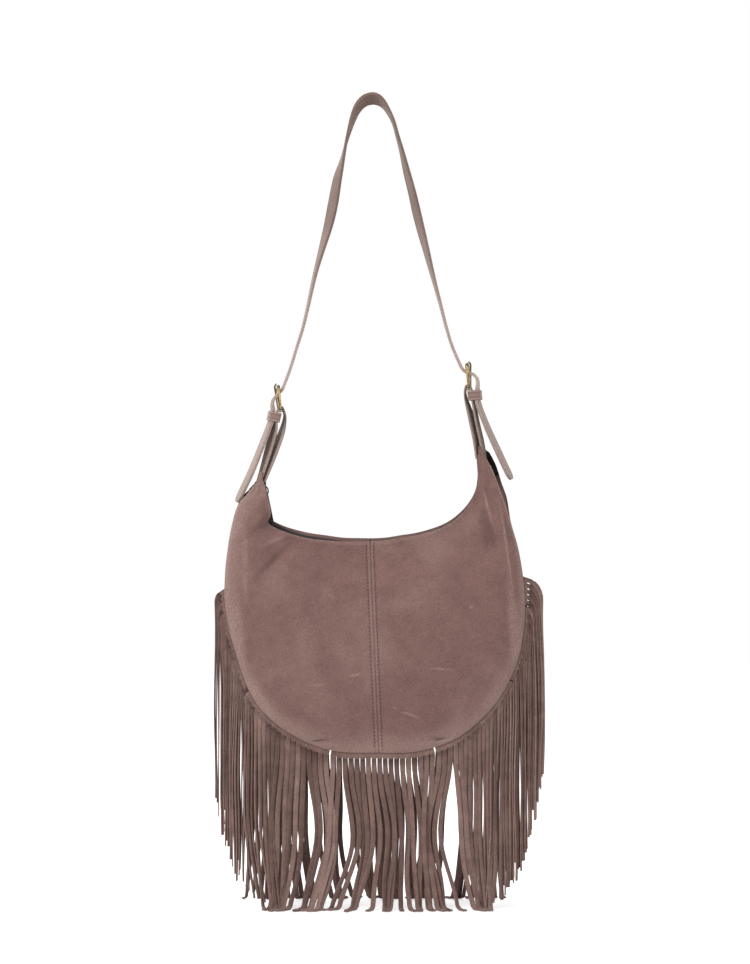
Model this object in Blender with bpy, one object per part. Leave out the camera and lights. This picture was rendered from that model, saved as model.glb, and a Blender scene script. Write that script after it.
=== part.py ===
"""Fringed suede shoulder bag, hanging by its strap.

Units are metres. +Z is up and -Y is the front. The origin lies on the underside of the strap at its
highest point, where the bag hangs. Every sub-part is one closed solid and one named object.
"""
import math
import random

import bmesh
import bpy
import numpy as np
from mathutils import Vector

# Driving dimensions of the bag body
MM = 0.001
BODY_WIDTH = 0.348
BODY_HEIGHT = 0.3535
STRAP_DROP = 0.766
BODY_SHIFT = 0.0035
GUSSET_WIDTH = 0.064
PANEL_BULGE = 0.026
MOUTH_GAP = 0.020
SUEDE = 0.0014
LINING_THICKNESS = 0.0008
LINING_SLACK = 0.0025
FIT = 0.0003

# Driving dimensions of the fringe
FRINGE_THICKNESS = 0.0012
FRINGE_LENGTH = 0.245
FRINGE_LENGTH_BOTTOM = 0.198
TIP_LYING = 0.010
FRINGE_BAND_SIDE = 0.004
FRINGE_BAND_BOTTOM = 0.012
FRINGE_STRIPS = 5
FRINGE_STRIP_GAP = 0.0016
STRAND_PITCH = 0.0065
STRAND_SLIT = 0.0011
STRAND_CLEARANCE = 0.0004
FLOOR_DROP = 0.184

# Driving dimensions of the strap and its hardware
STRAP_WIDTH = 0.024
STRAP_THICKNESS = 0.0032
CHAPE_THICKNESS = 0.0020
BUCKLE_PITCH = 0.0270
BAR_RADIUS = 0.0017
TOP_BAR_RADIUS = 0.0025
BUCKLE_SIDE_PLAY = 0.0015
PRONG_RADIUS = 0.0010
PRONG_EYE_WALL = 0.0012
PRONG_EYE_WIDTH = 0.0028
PRONG_SIDE_PLAY = 0.0006
KEEPER_HEIGHT = 0.0125
KEEPER_WALL = 0.0012
KEEPER_SIDE_PLAY = 0.0006

# Driving dimensions of the zip
ZIP_RADIUS = 0.291
ZIP_RECESS = 0.0094
ZIP_LEFT_ANGLE = math.radians(-24.6)
ZIP_RIGHT_ANGLE = math.radians(18.0)
TAPE_THICKNESS = 0.0005
COIL_SIZE = 0.0018
COIL_SPLIT = 0.0012
RIM_FACING = 0.004
SLIDER_LENGTH = 0.010
SLIDER_WIDTH = 0.008
SLIDER_PLATE = 0.0010
PULL_LENGTH = 0.0365
PULL_WIDTH = 0.0048
PULL_THICKNESS = 0.0020
PULL_RING_RADIUS = 0.0047
PULL_RING_WIRE = 0.0006
PULL_RING_TURN = math.radians(60.0)
PULL_LEAN = math.radians(10.5)

# Outline stations from the left peak round the bottom to the right peak, in millimetres at the drawn
# size: x and height of the rim, x and height of the seam, both from the middle of the lowest seam
DRAWN_WIDTH = 0.348
DRAWN_HEIGHT = 0.3535
STATIONS = [
    (-129.8, 317.4, -135.7, 317.4),
    (-127.4, 304.4, -146.9, 303.8),
    (-123.9, 290.3, -158.7, 290.3),
    (-122.1, 277.3, -165.2, 269.0),
    (-124.5, 266.7, -169.9, 240.7),
    (-110.3, 258.4, -173.5, 206.5),
    (-92.6, 252.5, -172.9, 166.4),
    (-73.8, 248.4, -162.2, 119.2),
    (-56.0, 246.6, -139.8, 61.4),
    (-39.5, 245.4, -102.1, 25.0),
    (-23.0, 245.4, -51.3, 2.9),
    (-5.3, 245.4, 5.3, 0.0),
    (12.4, 246.6, 53.7, 2.2),
    (30.1, 249.6, 100.9, 20.0),
    (49.0, 252.5, 141.0, 58.0),
    (66.7, 257.2, 164.6, 102.7),
    (82.0, 263.1, 173.5, 145.1),
    (96.2, 272.0, 174.0, 187.6),
    (109.1, 285.6, 168.1, 231.3),
    (118.6, 302.1, 158.7, 266.7),
    (122.1, 318.6, 148.1, 300.9),
    (121.5, 335.1, 136.3, 332.8),
    (120.4, 352.8, 126.3, 353.4),
]
LEFT_PEAK = 0.0
CENTRE = 11.0
RIGHT_PEAK = 22.0
LINING_START = 3.6
LINING_END = 18.9
GUSSET_START = 2
GUSSET_END = 20
FRINGE_START = 5.45
FRINGE_END = 17.35

# Shape of the body between the stations: station, share of the value
SEAM_DEPTH_SHARE = [(0, 0.0), (1, 0.03), (2, 0.16), (3, 0.5), (4, 0.86), (5, 1.0), (18.0, 1.0),
                    (19.0, 0.8), (20, 0.4), (21, 0.06), (22, 0.0)]
BULGE_SHARE = [(0, 0.0), (1.2, 0.0), (2.5, 0.1), (4, 0.35), (6, 0.7), (8.5, 1.0), (13.5, 1.0),
               (16, 0.7), (18, 0.35), (19.5, 0.1), (20.8, 0.0), (22, 0.0)]
MOUTH_SHARE = [(0, 0.0), (2.4, 0.0), (4, 1.0), (17.4, 1.0), (19.2, 0.0), (22, 0.0)]
BACK_LIFT = [(0, 0.0), (2.5, 0.5), (4.5, 6.0), (7, 6.0), (10, 3.5), (13, 2.5), (17, 2.5), (19, 1.0),
             (22, 0.0)]
GUSSET_SAG = [(0, -11.0), (3.4, -9.0), (5.4, 0.0), (16.8, 0.0), (18.6, -9.0), (22, -11.0)]

# Folds of the front: middle station, middle share down the panel, half sizes of both, depth in mm
FRONT_FOLDS = [
    (5.6, 0.13, 0.9, 0.12, -5.0),
    (4.6, 0.45, 0.5, 0.25, 2.5),
    (17.6, 0.42, 0.7, 0.16, -5.0),
    (18.7, 0.30, 0.45, 0.28, 3.0),
    (16.2, 0.10, 0.9, 0.10, -2.5),
]
BACK_FOLDS = [
    (6.0, 0.18, 0.9, 0.14, -3.5),
    (17.0, 0.25, 0.8, 0.18, -3.5),
]
PANEL_ROWS = [0.0, 0.05, 0.14, 0.27, 0.42, 0.57, 0.71, 0.83, 0.92, 1.0]
LINING_ROWS = [0.27, 0.42, 0.57, 0.74, 0.90]

# Heel bar of each buckle from the tip of its peak, and the way the frame points, x and z
LEFT_HEEL_STEP = (0.0218, 0.0832)
LEFT_FRAME_UP = (-0.1128, 0.9936)
RIGHT_HEEL_STEP = (-0.0127, 0.0733)
RIGHT_FRAME_UP = (-0.0397, 0.9992)
BUCKLE_TWIST = 4.0

# The strap beside each buckle: millimetres up the frame and outward from the heel bar, twist
LEFT_TAIL = [(-102.6, 63.4, 15.0), (-86.4, 53.3, 15.0), (-67.1, 41.5, 15.0), (-39.2, 26.5, 14.0),
             (-20.1, 16.6, 13.0), (-8.8, 11.2, 12.0), (0.4, 8.9, 9.0), (7.0, 8.9, 6.0),
             (11.8, 7.4, 5.0), (15.2, 4.6, 4.0), (19.1, 0.2, 4.0), (23.1, -4.6, 4.0),
             (28.7, -7.8, 3.0)]
RIGHT_TAIL = [(-110.0, 46.8, 15.0), (-94.4, 39.8, 15.0), (-73.7, 31.2, 15.0), (-47.3, 20.5, 14.0),
              (-26.9, 13.4, 13.0), (-13.8, 10.2, 12.0), (-4.4, 10.4, 9.0), (4.5, 11.5, 6.0),
              (10.0, 10.8, 5.0), (14.0, 8.2, 4.0), (16.4, 4.7, 4.0), (18.0, -1.2, 4.0),
              (22.4, -6.0, 4.0), (31.2, -10.1, 4.0)]
LEFT_SLOT = (8, 10)
RIGHT_SLOT = (9, 11)

# The strap between the buckles: x and z in millimetres at the drawn drop, twist in degrees
LEFT_LEG = [(-95.0, -314.5, 2.0), (-89.1, -295.0, 3.0), (-81.7, -271.4, 4.0), (-75.9, -247.8, 5.0),
            (-70.8, -224.2, 6.5), (-65.3, -200.6, 9.0), (-58.8, -177.0, 14.0), (-50.7, -147.5, 22.0),
            (-45.7, -123.9, 25.0), (-40.5, -94.4, 21.0), (-37.4, -81.8, 15.5), (-33.5, -66.7, 7.0),
            (-28.9, -46.0, 0.0), (-21.8, -21.6, -9.0), (-15.6, -8.4, -15.0), (-8.1, -0.9, -20.0)]
APEX = (0.0, 1.7, -22.0)
RIGHT_LEG = [(5.8, 1.0, -20.0), (11.6, -2.4, -13.0), (17.5, -9.4, -6.0), (25.4, -24.6, -2.0),
             (30.6, -42.4, -2.0), (35.6, -60.4, -5.0), (41.4, -84.5, -11.0), (47.7, -108.6, -14.0),
             (53.2, -132.6, -16.0), (59.2, -156.8, -14.0), (64.5, -177.0, -10.0),
             (70.0, -198.6, -6.0), (75.9, -221.1, -2.0), (82.0, -243.8, 0.0), (87.7, -266.3, 1.0),
             (94.5, -288.9, 3.0)]
DRAWN_LEFT_HEEL = (-107.3, -365.2)
DRAWN_RIGHT_HEEL = (113.9, -339.4)

# Chapes: millimetres up the frame and outward from the heel bar, twist, from the outer layer's end
LEFT_CHAPE_OUTER = [(-84.0, 35.6, 14.0), (-66.0, 27.6, 14.0), (-44.0, 19.8, 13.0),
                    (-24.2, 12.9, 12.0), (-13.0, 8.7, 11.0)]
LEFT_CHAPE_INNER = [(-12.0, -3.6, 8.0), (-26.5, -1.7, 11.0), (-49.2, 11.6, 13.0), (-81.0, 30.5, 14.0)]
LEFT_CHAPE_MOUTH = ((-4.6, 5.0), (-4.6, -4.2))
RIGHT_CHAPE_OUTER = [(-98.0, 12.6, 14.0), (-84.8, 11.8, 14.0), (-62.5, 10.4, 13.0),
                     (-39.4, 7.4, 12.0), (-20.5, 5.9, 11.0), (-12.0, 4.9, 10.0)]
RIGHT_CHAPE_INNER = [(-12.0, -3.4, 8.0), (-24.0, -2.7, 10.0), (-43.0, 0.4, 12.0),
                     (-62.0, 3.6, 13.0), (-84.0, 5.6, 14.0)]
RIGHT_CHAPE_MOUTH = ((-4.6, 4.3), (-4.6, -4.0))

# Keepers: millimetres up the frame and outward from the heel bar, lean and twist in degrees, bore
LEFT_KEEPER = (-7.4, 8.5, 20.0, 10.0, 0.0102)
RIGHT_KEEPER = (-9.2, 7.45, 3.0, 10.0, 0.0112)


# Materials


def material(name, colour, roughness, metallic=0.0):
    """One Principled material, found again by its name."""
    found = bpy.data.materials.get(name)
    if found:
        return found
    made = bpy.data.materials.new(name)
    made.use_nodes = True
    shader = made.node_tree.nodes["Principled BSDF"]
    shader.inputs["Base Color"].default_value = (*colour, 1.0)
    shader.inputs["Roughness"].default_value = roughness
    shader.inputs["Metallic"].default_value = metallic
    return made


def suede():
    return material("suede_taupe", (0.235, 0.155, 0.130), 0.95)


def strap_suede():
    return material("suede_strap", (0.330, 0.235, 0.195), 0.90)


def fringe_suede():
    return material("suede_fringe", (0.150, 0.095, 0.080), 0.95)


def lining_cloth():
    return material("lining_black", (0.015, 0.015, 0.017), 0.85)


def tape_cloth():
    return material("zip_tape_black", (0.020, 0.018, 0.018), 0.80)


def coil_nylon():
    return material("zip_coil_black", (0.025, 0.024, 0.025), 0.45)


def dark_metal():
    return material("dark_metal", (0.090, 0.080, 0.070), 0.35, 1.0)


def brass():
    return material("antique_brass", (0.450, 0.330, 0.160), 0.32, 1.0)


# Mesh helpers


def solid(name, vertices, faces, finish, origin=(0.0, 0.0, 0.0)):
    """Make one closed object from its corners and faces, with its origin at the given place."""
    start = Vector(origin)
    mesh = bpy.data.meshes.new(name)
    mesh.from_pydata([tuple(Vector(v) - start) for v in vertices], [], faces)
    shape = bmesh.new()
    shape.from_mesh(mesh)
    bmesh.ops.recalc_face_normals(shape, faces=shape.faces)
    shape.to_mesh(mesh)
    shape.free()
    mesh.materials.append(finish)
    made = bpy.data.objects.new(name, mesh)
    made.location = start
    bpy.context.scene.collection.objects.link(made)
    return made


def cut_or_join(target, other, operation):
    """Apply an exact Boolean to the target and remove the other object."""
    bpy.context.view_layer.update()
    change = target.modifiers.new("shape", "BOOLEAN")
    change.operation = operation
    change.solver = "EXACT"
    change.object = other
    graph = bpy.context.evaluated_depsgraph_get()
    result = bpy.data.meshes.new_from_object(target.evaluated_get(graph))
    target.modifiers.remove(change)
    target.data = result
    bpy.data.objects.remove(other)


def ease(pairs, at):
    """Value at a station from a list of (station, value), with smooth steps between them."""
    if at <= pairs[0][0]:
        return pairs[0][1]
    for (a, low), (b, high) in zip(pairs, pairs[1:]):
        if at <= b:
            t = (at - a) / (b - a)
            t = t * t * (3.0 - 2.0 * t)
            return low + (high - low) * t
    return pairs[-1][1]


def ramp(low, high, at):
    """Smooth step from 0 to 1 between two values."""
    t = min(max((at - low) / (high - low), 0.0), 1.0)
    return t * t * (3.0 - 2.0 * t)


def flowing(rows, at):
    """Point on a Catmull-Rom curve through the rows of an array, at a fractional row."""
    last = len(rows) - 1
    at = min(max(at, 0.0), float(last))
    i = min(int(at), last - 1)
    t = at - i
    b = rows[i]
    c = rows[i + 1]
    a = rows[i - 1] if i > 0 else 2.0 * b - c
    d = rows[i + 2] if i + 2 <= last else 2.0 * c - b
    square = t * t
    cube = square * t
    return 0.5 * (2.0 * b + (c - a) * t + (2.0 * a - 5.0 * b + 4.0 * c - d) * square
                  + (3.0 * b - a - 3.0 * c + d) * cube)


# Body surfaces


def station_table():
    """Stations in metres in the frame of the part: rim x, rim z, seam x, seam z."""
    wide = BODY_WIDTH / DRAWN_WIDTH * MM
    tall = BODY_HEIGHT / DRAWN_HEIGHT * MM
    table = np.array(STATIONS)
    table[:, 0] = table[:, 0] * wide + BODY_SHIFT
    table[:, 2] = table[:, 2] * wide + BODY_SHIFT
    table[:, 1] = table[:, 1] * tall - STRAP_DROP
    table[:, 3] = table[:, 3] * tall - STRAP_DROP
    return table


TABLE = station_table()
PEAK_HALF = 0.5 * STRAP_WIDTH + FIT
MOUTH_HALF = 0.5 * MOUTH_GAP
SEAM_HALF = 0.5 * GUSSET_WIDTH
SEAM_STACK = FRINGE_THICKNESS + 2.0 * FIT


def rim_point(at):
    return flowing(TABLE, at)[0:2]


def seam_point(at):
    return flowing(TABLE, at)[2:4]


def seam_outward(at):
    """Unit normal of the seam outline in x and z, away from the bag."""
    step = seam_point(at + 0.02) - seam_point(at - 0.02)
    step = step / np.hypot(*step)
    return np.array([step[1], -step[0]])


def seam_half_depth(at):
    return PEAK_HALF + (SEAM_HALF - PEAK_HALF) * ease(SEAM_DEPTH_SHARE, at)


def rim_half_depth(at):
    return PEAK_HALF + (MOUTH_HALF - PEAK_HALF) * ease(MOUTH_SHARE, at)


def inner_point(at, share, side):
    """Point on the inner face of a panel: station, share from rim to seam, -1 front or +1 back."""
    rim = rim_point(at)
    seam = seam_point(at)
    across = rim + (seam - rim) * share
    lift = ease(BACK_LIFT, at) * MM if side > 0 else 0.0
    depth = rim_half_depth(at)
    depth += (seam_half_depth(at) - depth) * ramp(0.04, 1.0, share)
    swell = max(math.sin(math.pi * min(share, 1.0) ** 0.9), 0.0) ** 0.8
    depth += PANEL_BULGE * ease(BULGE_SHARE, at) * swell * ramp(0.02, 0.22, share)
    for middle, down, wide, tall, deep in (FRONT_FOLDS if side < 0 else BACK_FOLDS):
        far = ((at - middle) / wide) ** 2 + ((share - down) / tall) ** 2
        depth += deep * MM * math.exp(-far) * ramp(0.13, 0.27, share) * ramp(0.0, 0.12, 1.0 - share)
    return np.array([across[0], side * depth, across[1] + lift * (1.0 - share) ** 2])


def outward(at, share, side):
    """Unit normal of a panel, away from the inside of the bag."""
    da = 0.02
    ds = 0.004
    along = inner_point(min(at + da, RIGHT_PEAK), share, side)
    along = along - inner_point(max(at - da, LEFT_PEAK), share, side)
    down = inner_point(at, min(share + ds, 1.0), side) - inner_point(at, max(share - ds, 0.0), side)
    normal = np.cross(along, down)
    normal = normal / np.linalg.norm(normal)
    return normal if normal[1] * side > 0 else -normal


def sheet(name, inner, outer, finish):
    """Closed slab between two grids of points of the same size."""
    rows = len(inner)
    columns = len(inner[0])
    vertices = [p for row in inner for p in row] + [p for row in outer for p in row]
    half = rows * columns

    def at(r, c, layer):
        return layer * half + r * columns + c

    faces = []
    for r in range(rows - 1):
        for c in range(columns - 1):
            faces.append((at(r, c, 0), at(r, c + 1, 0), at(r + 1, c + 1, 0), at(r + 1, c, 0)))
            faces.append((at(r, c, 1), at(r + 1, c, 1), at(r + 1, c + 1, 1), at(r, c + 1, 1)))
    for c in range(columns - 1):
        faces.append((at(0, c, 0), at(0, c, 1), at(0, c + 1, 1), at(0, c + 1, 0)))
        faces.append((at(rows - 1, c, 0), at(rows - 1, c + 1, 0),
                      at(rows - 1, c + 1, 1), at(rows - 1, c, 1)))
    for r in range(rows - 1):
        faces.append((at(r, 0, 0), at(r + 1, 0, 0), at(r + 1, 0, 1), at(r, 0, 1)))
        faces.append((at(r, columns - 1, 0), at(r, columns - 1, 1),
                      at(r + 1, columns - 1, 1), at(r + 1, columns - 1, 0)))
    return solid(name, vertices, faces, finish)


def half_panel(name, side, left):
    """One suede half of the front or the back, up to the seam down the middle."""
    stations = np.linspace(LEFT_PEAK, CENTRE, 12) if left else np.linspace(CENTRE, RIGHT_PEAK, 12)
    shift = -0.5 * FIT if left else 0.5 * FIT
    inner = []
    outer = []
    for at in stations:
        move = np.array([shift if at == CENTRE else 0.0, 0.0, 0.0])
        line = [inner_point(at, share, side) + move for share in PANEL_ROWS]
        inner.append(line)
        outer.append([p + SUEDE * outward(at, share, side)
                      for p, share in zip(line, PANEL_ROWS)])
    return sheet(name, inner, outer, suede())


def gusset():
    """Band of suede between the two seams, sunk in at its open ends near the peaks."""
    inner = []
    outer = []
    for at in range(GUSSET_START, GUSSET_END + 1):
        seam = seam_point(at)
        away = seam_outward(at)
        fringe = ramp(math.floor(FRINGE_START) - 1, math.floor(FRINGE_START), at)
        fringe *= 1.0 - ramp(math.ceil(FRINGE_END), math.ceil(FRINGE_END) + 1, at)
        half = seam_half_depth(at) - FIT - (SEAM_STACK - FIT) * fringe
        line_in = []
        line_out = []
        for across in (-1.0, -0.5, 0.0, 0.5, 1.0):
            sag = ease(GUSSET_SAG, at) * MM * (1.0 - across ** 2)
            out = seam + away * sag
            deep = out - away * SUEDE
            line_out.append(np.array([out[0], across * half, out[1]]))
            line_in.append(np.array([deep[0], across * half, deep[1]]))
        inner.append(line_in)
        outer.append(line_out)
    return sheet("gusset", inner, outer, suede())


def lining_line(at, offset):
    """Section of the lining at a station, from the front rim round the seams to the back rim."""
    points = {}
    for side in (-1, 1):
        top = 0.13 + 0.05 * ramp(14.0, 17.5, at)
        line = []
        for share in [top] + LINING_ROWS:
            line.append(inner_point(at, share, side) - offset * outward(at, share, side))
        points[side] = line
    seam = seam_point(at)
    away = seam_outward(at)
    half = seam_half_depth(at) - offset
    floor_line = []
    for across in (-1.0, -0.4, 0.4, 1.0):
        sag = ease(GUSSET_SAG, at) * MM * (1.0 - across ** 2)
        deep = seam + away * (sag - SUEDE - offset)
        floor_line.append(np.array([deep[0], across * half, deep[1]]))
    return points[-1] + floor_line + points[1][::-1]


def lining():
    """Loose black sack inside the suede, open along the zip and at both peaks."""
    stations = np.linspace(LINING_START, LINING_END, 15)
    outer = [lining_line(at, LINING_SLACK) for at in stations]
    inner = [lining_line(at, LINING_SLACK + LINING_THICKNESS) for at in stations]
    return sheet("lining", inner, outer, lining_cloth())


# Fringe


def seam_lengths():
    """Stations of the fringed part of the seam with the length run up to each of them."""
    stations = np.linspace(FRINGE_START, FRINGE_END, 241)
    points = np.array([seam_point(at) for at in stations])
    steps = np.hypot(*(points[1:] - points[:-1]).T)
    return stations, np.concatenate([[0.0], np.cumsum(steps)])


def strand_twist(spacing, width):
    """Turn of a strand about its length that fits it between its neighbours."""
    free = spacing - STRAND_CLEARANCE
    if free >= width:
        return 0.0
    low = 0.0
    high = 0.5 * math.pi
    for _ in range(30):
        middle = 0.5 * (low + high)
        if width * math.cos(middle) + FRINGE_THICKNESS * math.sin(middle) > free:
            low = middle
        else:
            high = middle
    return high


def strand_layout():
    """Every strand of one seam: its edges along the seam, its root and where it hangs."""
    stations, lengths = seam_lengths()
    strip_length = lengths[-1] / FRINGE_STRIPS
    cut_length = strip_length - FRINGE_STRIP_GAP
    count = int(round(cut_length / STRAND_PITCH))
    pitch = (cut_length + STRAND_SLIT) / count
    width = pitch - STRAND_SLIT
    strands = []
    for strip in range(FRINGE_STRIPS):
        start = strip * strip_length + 0.5 * FRINGE_STRIP_GAP
        for j in range(count):
            edges = (start + j * pitch, start + j * pitch + width)
            at = [float(np.interp(e, lengths, stations)) for e in edges]
            middle = float(np.interp(0.5 * sum(edges), lengths, stations))
            away = seam_outward(middle)
            band = FRINGE_BAND_SIDE + (FRINGE_BAND_BOTTOM - FRINGE_BAND_SIDE) * away[1] ** 2
            root = seam_point(middle) + away * band
            strands.append({"strip": strip, "edges": at, "middle": middle, "band": band,
                            "away": away, "root": root, "width": width})
    step = FRINGE_THICKNESS + 1.2 * STRAND_CLEARANCE
    middle = len(strands) // 2
    hang = [s["root"][0] for s in strands]
    for j in range(middle + 1, len(strands)):
        hang[j] = max(hang[j] + 0.001 * abs(strands[j]["away"][0]), hang[j - 1] + step)
    for j in range(middle - 1, -1, -1):
        hang[j] = min(hang[j] - 0.001 * abs(strands[j]["away"][0]), hang[j + 1] - step)
    for j, strand in enumerate(strands):
        near = [abs(hang[k] - hang[j]) for k in (j - 1, j + 1) if 0 <= k < len(strands)]
        strand["hang"] = hang[j]
        strand["twist"] = strand_twist(min(near), width)
    return strands


def strand_sections(strand, side, chance):
    """Centre, width way and thickness way of a strand below its root, down to its tip."""
    seam_y = side * (SEAM_HALF - FIT - 0.5 * FRINGE_THICKNESS)
    root = strand["root"]
    away = strand["away"]
    hang = strand["hang"]
    twist = strand["twist"]
    floor = -STRAP_DROP - FLOOR_DROP
    length = FRINGE_LENGTH + (FRINGE_LENGTH_BOTTOM - FRINGE_LENGTH) * max(-away[1], 0.0) ** 3
    length = length * chance.uniform(0.97, 1.03) - strand["band"]
    reach = abs(hang - root[0])
    bend = 0.6 * max(reach, 0.004)
    low = np.array([hang, root[1] - max(1.3 * reach, 0.008)])
    corners = [root, root + away * bend, low + np.array([0.0, bend]), low]
    sections = []
    t = 0.5
    middle = (corners[0] + 3.0 * corners[1] + 3.0 * corners[2] + corners[3]) * t ** 3
    way = corners[2] + corners[3] - corners[0] - corners[1]
    way = way / np.hypot(*way)
    if reach > 0.002:
        sections.append((np.array([middle[0], seam_y, middle[1]]), way, 0.5 * twist))
    straight = np.array([0.0, -1.0])
    sections.append((np.array([low[0], seam_y, low[1]]), straight, twist))
    used = 1.1 * math.hypot(reach, root[1] - low[1])
    left = length - used
    fall = low[1] - floor - 0.5 * FRINGE_THICKNESS
    sway = side * chance.uniform(-0.001, 0.006)
    if left < fall - 0.004:
        end = np.array([low[0], seam_y + sway, low[1] - left])
        sections.append((end, straight, twist))
        return sections, None
    knee = np.array([low[0], seam_y + sway, floor + 0.012])
    sections.append((knee, straight, twist))
    lying = max(min(left - fall, TIP_LYING), 0.006)
    heel = knee + np.array([0.0, side * 0.006, -0.0097])
    tip = heel + np.array([0.0, side * lying, -0.0013])
    return sections, (heel, tip, side)


def strand_corners(centre, way, twist, width):
    """Four corners of a hanging section: both edges, each on its near and its far face."""
    edge = np.array([-way[1], 0.0, way[0]])
    across = math.cos(twist) * edge + math.sin(twist) * np.array([0.0, 1.0, 0.0])
    through = -math.sin(twist) * edge + math.cos(twist) * np.array([0.0, 1.0, 0.0])
    wide = 0.5 * width * across
    thick = 0.5 * FRINGE_THICKNESS * through
    return [centre - wide - thick, centre + wide - thick, centre + wide + thick, centre - wide + thick]


def fringe_strip(name, strands, side, seed):
    """One comb of suede: a band caught in the seam with all its strands, as one closed body."""
    chance = random.Random(seed)
    near = side * (SEAM_HALF - FIT) if side < 0 else SEAM_HALF - FIT - FRINGE_THICKNESS
    far = near + FRINGE_THICKNESS
    vertices = []
    faces = []
    columns = []
    for strand in strands:
        for at in strand["edges"]:
            seam = seam_point(at)
            away = seam_outward(at)
            start = seam - away * 0.5 * SUEDE
            end = seam + away * strand["band"]
            base = len(vertices)
            for point in (start, end):
                for y in (near, far):
                    vertices.append((point[0], y, point[1]))
            columns.append((base, base + 1, base + 2, base + 3))
    for k, (one, two) in enumerate(zip(columns, columns[1:])):
        faces.append((one[0], one[2], two[2], two[0]))
        faces.append((one[1], two[1], two[3], one[3]))
        faces.append((one[0], two[0], two[1], one[1]))
        if k % 2 == 1:
            faces.append((one[2], one[3], two[3], two[2]))
    faces.append((columns[0][0], columns[0][1], columns[0][3], columns[0][2]))
    faces.append((columns[-1][0], columns[-1][2], columns[-1][3], columns[-1][1]))
    for k, strand in enumerate(strands):
        one = columns[2 * k]
        two = columns[2 * k + 1]
        ring = [one[2], two[2], two[3], one[3]]
        sections, lying = strand_sections(strand, side, chance)
        rings = [strand_corners(c, way, twist, strand["width"]) for c, way, twist in sections]
        if lying:
            rings.extend(lying_corners(lying, strand))
        for corners in rings:
            base = len(vertices)
            vertices.extend(tuple(p) for p in corners)
            fresh = [base, base + 1, base + 2, base + 3]
            for e in range(4):
                f = (e + 1) % 4
                faces.append((ring[e], fresh[e], fresh[f], ring[f]))
            ring = fresh
        faces.append(tuple(ring))
    return solid(name, vertices, faces, fringe_suede())


def lying_corners(lying, strand):
    """Sections of the end of a strand that bends over and lies on the ground."""
    heel, tip, side = lying
    twist = strand["twist"]
    half = 0.5 * strand["width"] * min(math.cos(twist) + 0.25, 1.0)
    wide = np.array([half, 0.0, 0.0])
    rings = []
    for centre, lean in ((heel, 0.55), (tip, 1.0)):
        thick = 0.5 * FRINGE_THICKNESS * np.array([0.0, math.sqrt(1.0 - lean * lean), side * lean])
        rings.append([centre - wide - thick, centre + wide - thick,
                      centre + wide + thick, centre - wide + thick])
    return rings


def fringes():
    """Five strips in the front seam and five in the back seam."""
    places = ("outer_left", "lower_left", "centre", "lower_right", "outer_right")
    layout = strand_layout()
    for word, side in (("front", -1), ("back", 1)):
        for number, place in enumerate(places):
            strands = [s for s in layout if s["strip"] == number]
            fringe_strip("fringe_%s_%s" % (word, place), strands, side, 11 * number + side + 2)


# Strap and its hardware


class Buckle:
    """Place of one buckle: its heel bar, the way up its frame, outward and along the bars."""

    def __init__(self, name, peak, step, up):
        tip = 0.5 * (rim_point(peak) + seam_point(peak))
        self.name = name
        self.heel = np.array([tip[0] + step[0], 0.0, tip[1] + step[1]])
        up = np.array([up[0], 0.0, up[1]])
        self.up = up / np.linalg.norm(up)
        self.sign = -1.0 if name == "left" else 1.0
        flat = self.sign * np.array([self.up[2], 0.0, -self.up[0]])
        turn = math.radians(BUCKLE_TWIST)
        self.out = math.cos(turn) * flat + math.sin(turn) * np.array([0.0, -1.0, 0.0])
        self.flat = flat
        self.bar = np.cross(self.up, self.out)

    def place(self, up, out):
        """Point in millimetres up the frame and outward, in the plane of the bag."""
        return self.heel + self.up * up * MM + self.flat * out * MM

    def width_way(self, twist):
        """Way of a strip's width, turned so that its outer face looks a little to the front."""
        turn = math.radians(twist)
        return math.cos(turn) * np.array([0.0, 1.0, 0.0]) + math.sin(turn) * self.flat

    def local(self, up, out, along):
        """Point in metres in the turned frame of the buckle."""
        return self.heel + self.up * up + self.out * out + self.bar * along


LEFT = Buckle("left", LEFT_PEAK, LEFT_HEEL_STEP, LEFT_FRAME_UP)
RIGHT = Buckle("right", RIGHT_PEAK, RIGHT_HEEL_STEP, RIGHT_FRAME_UP)


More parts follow.
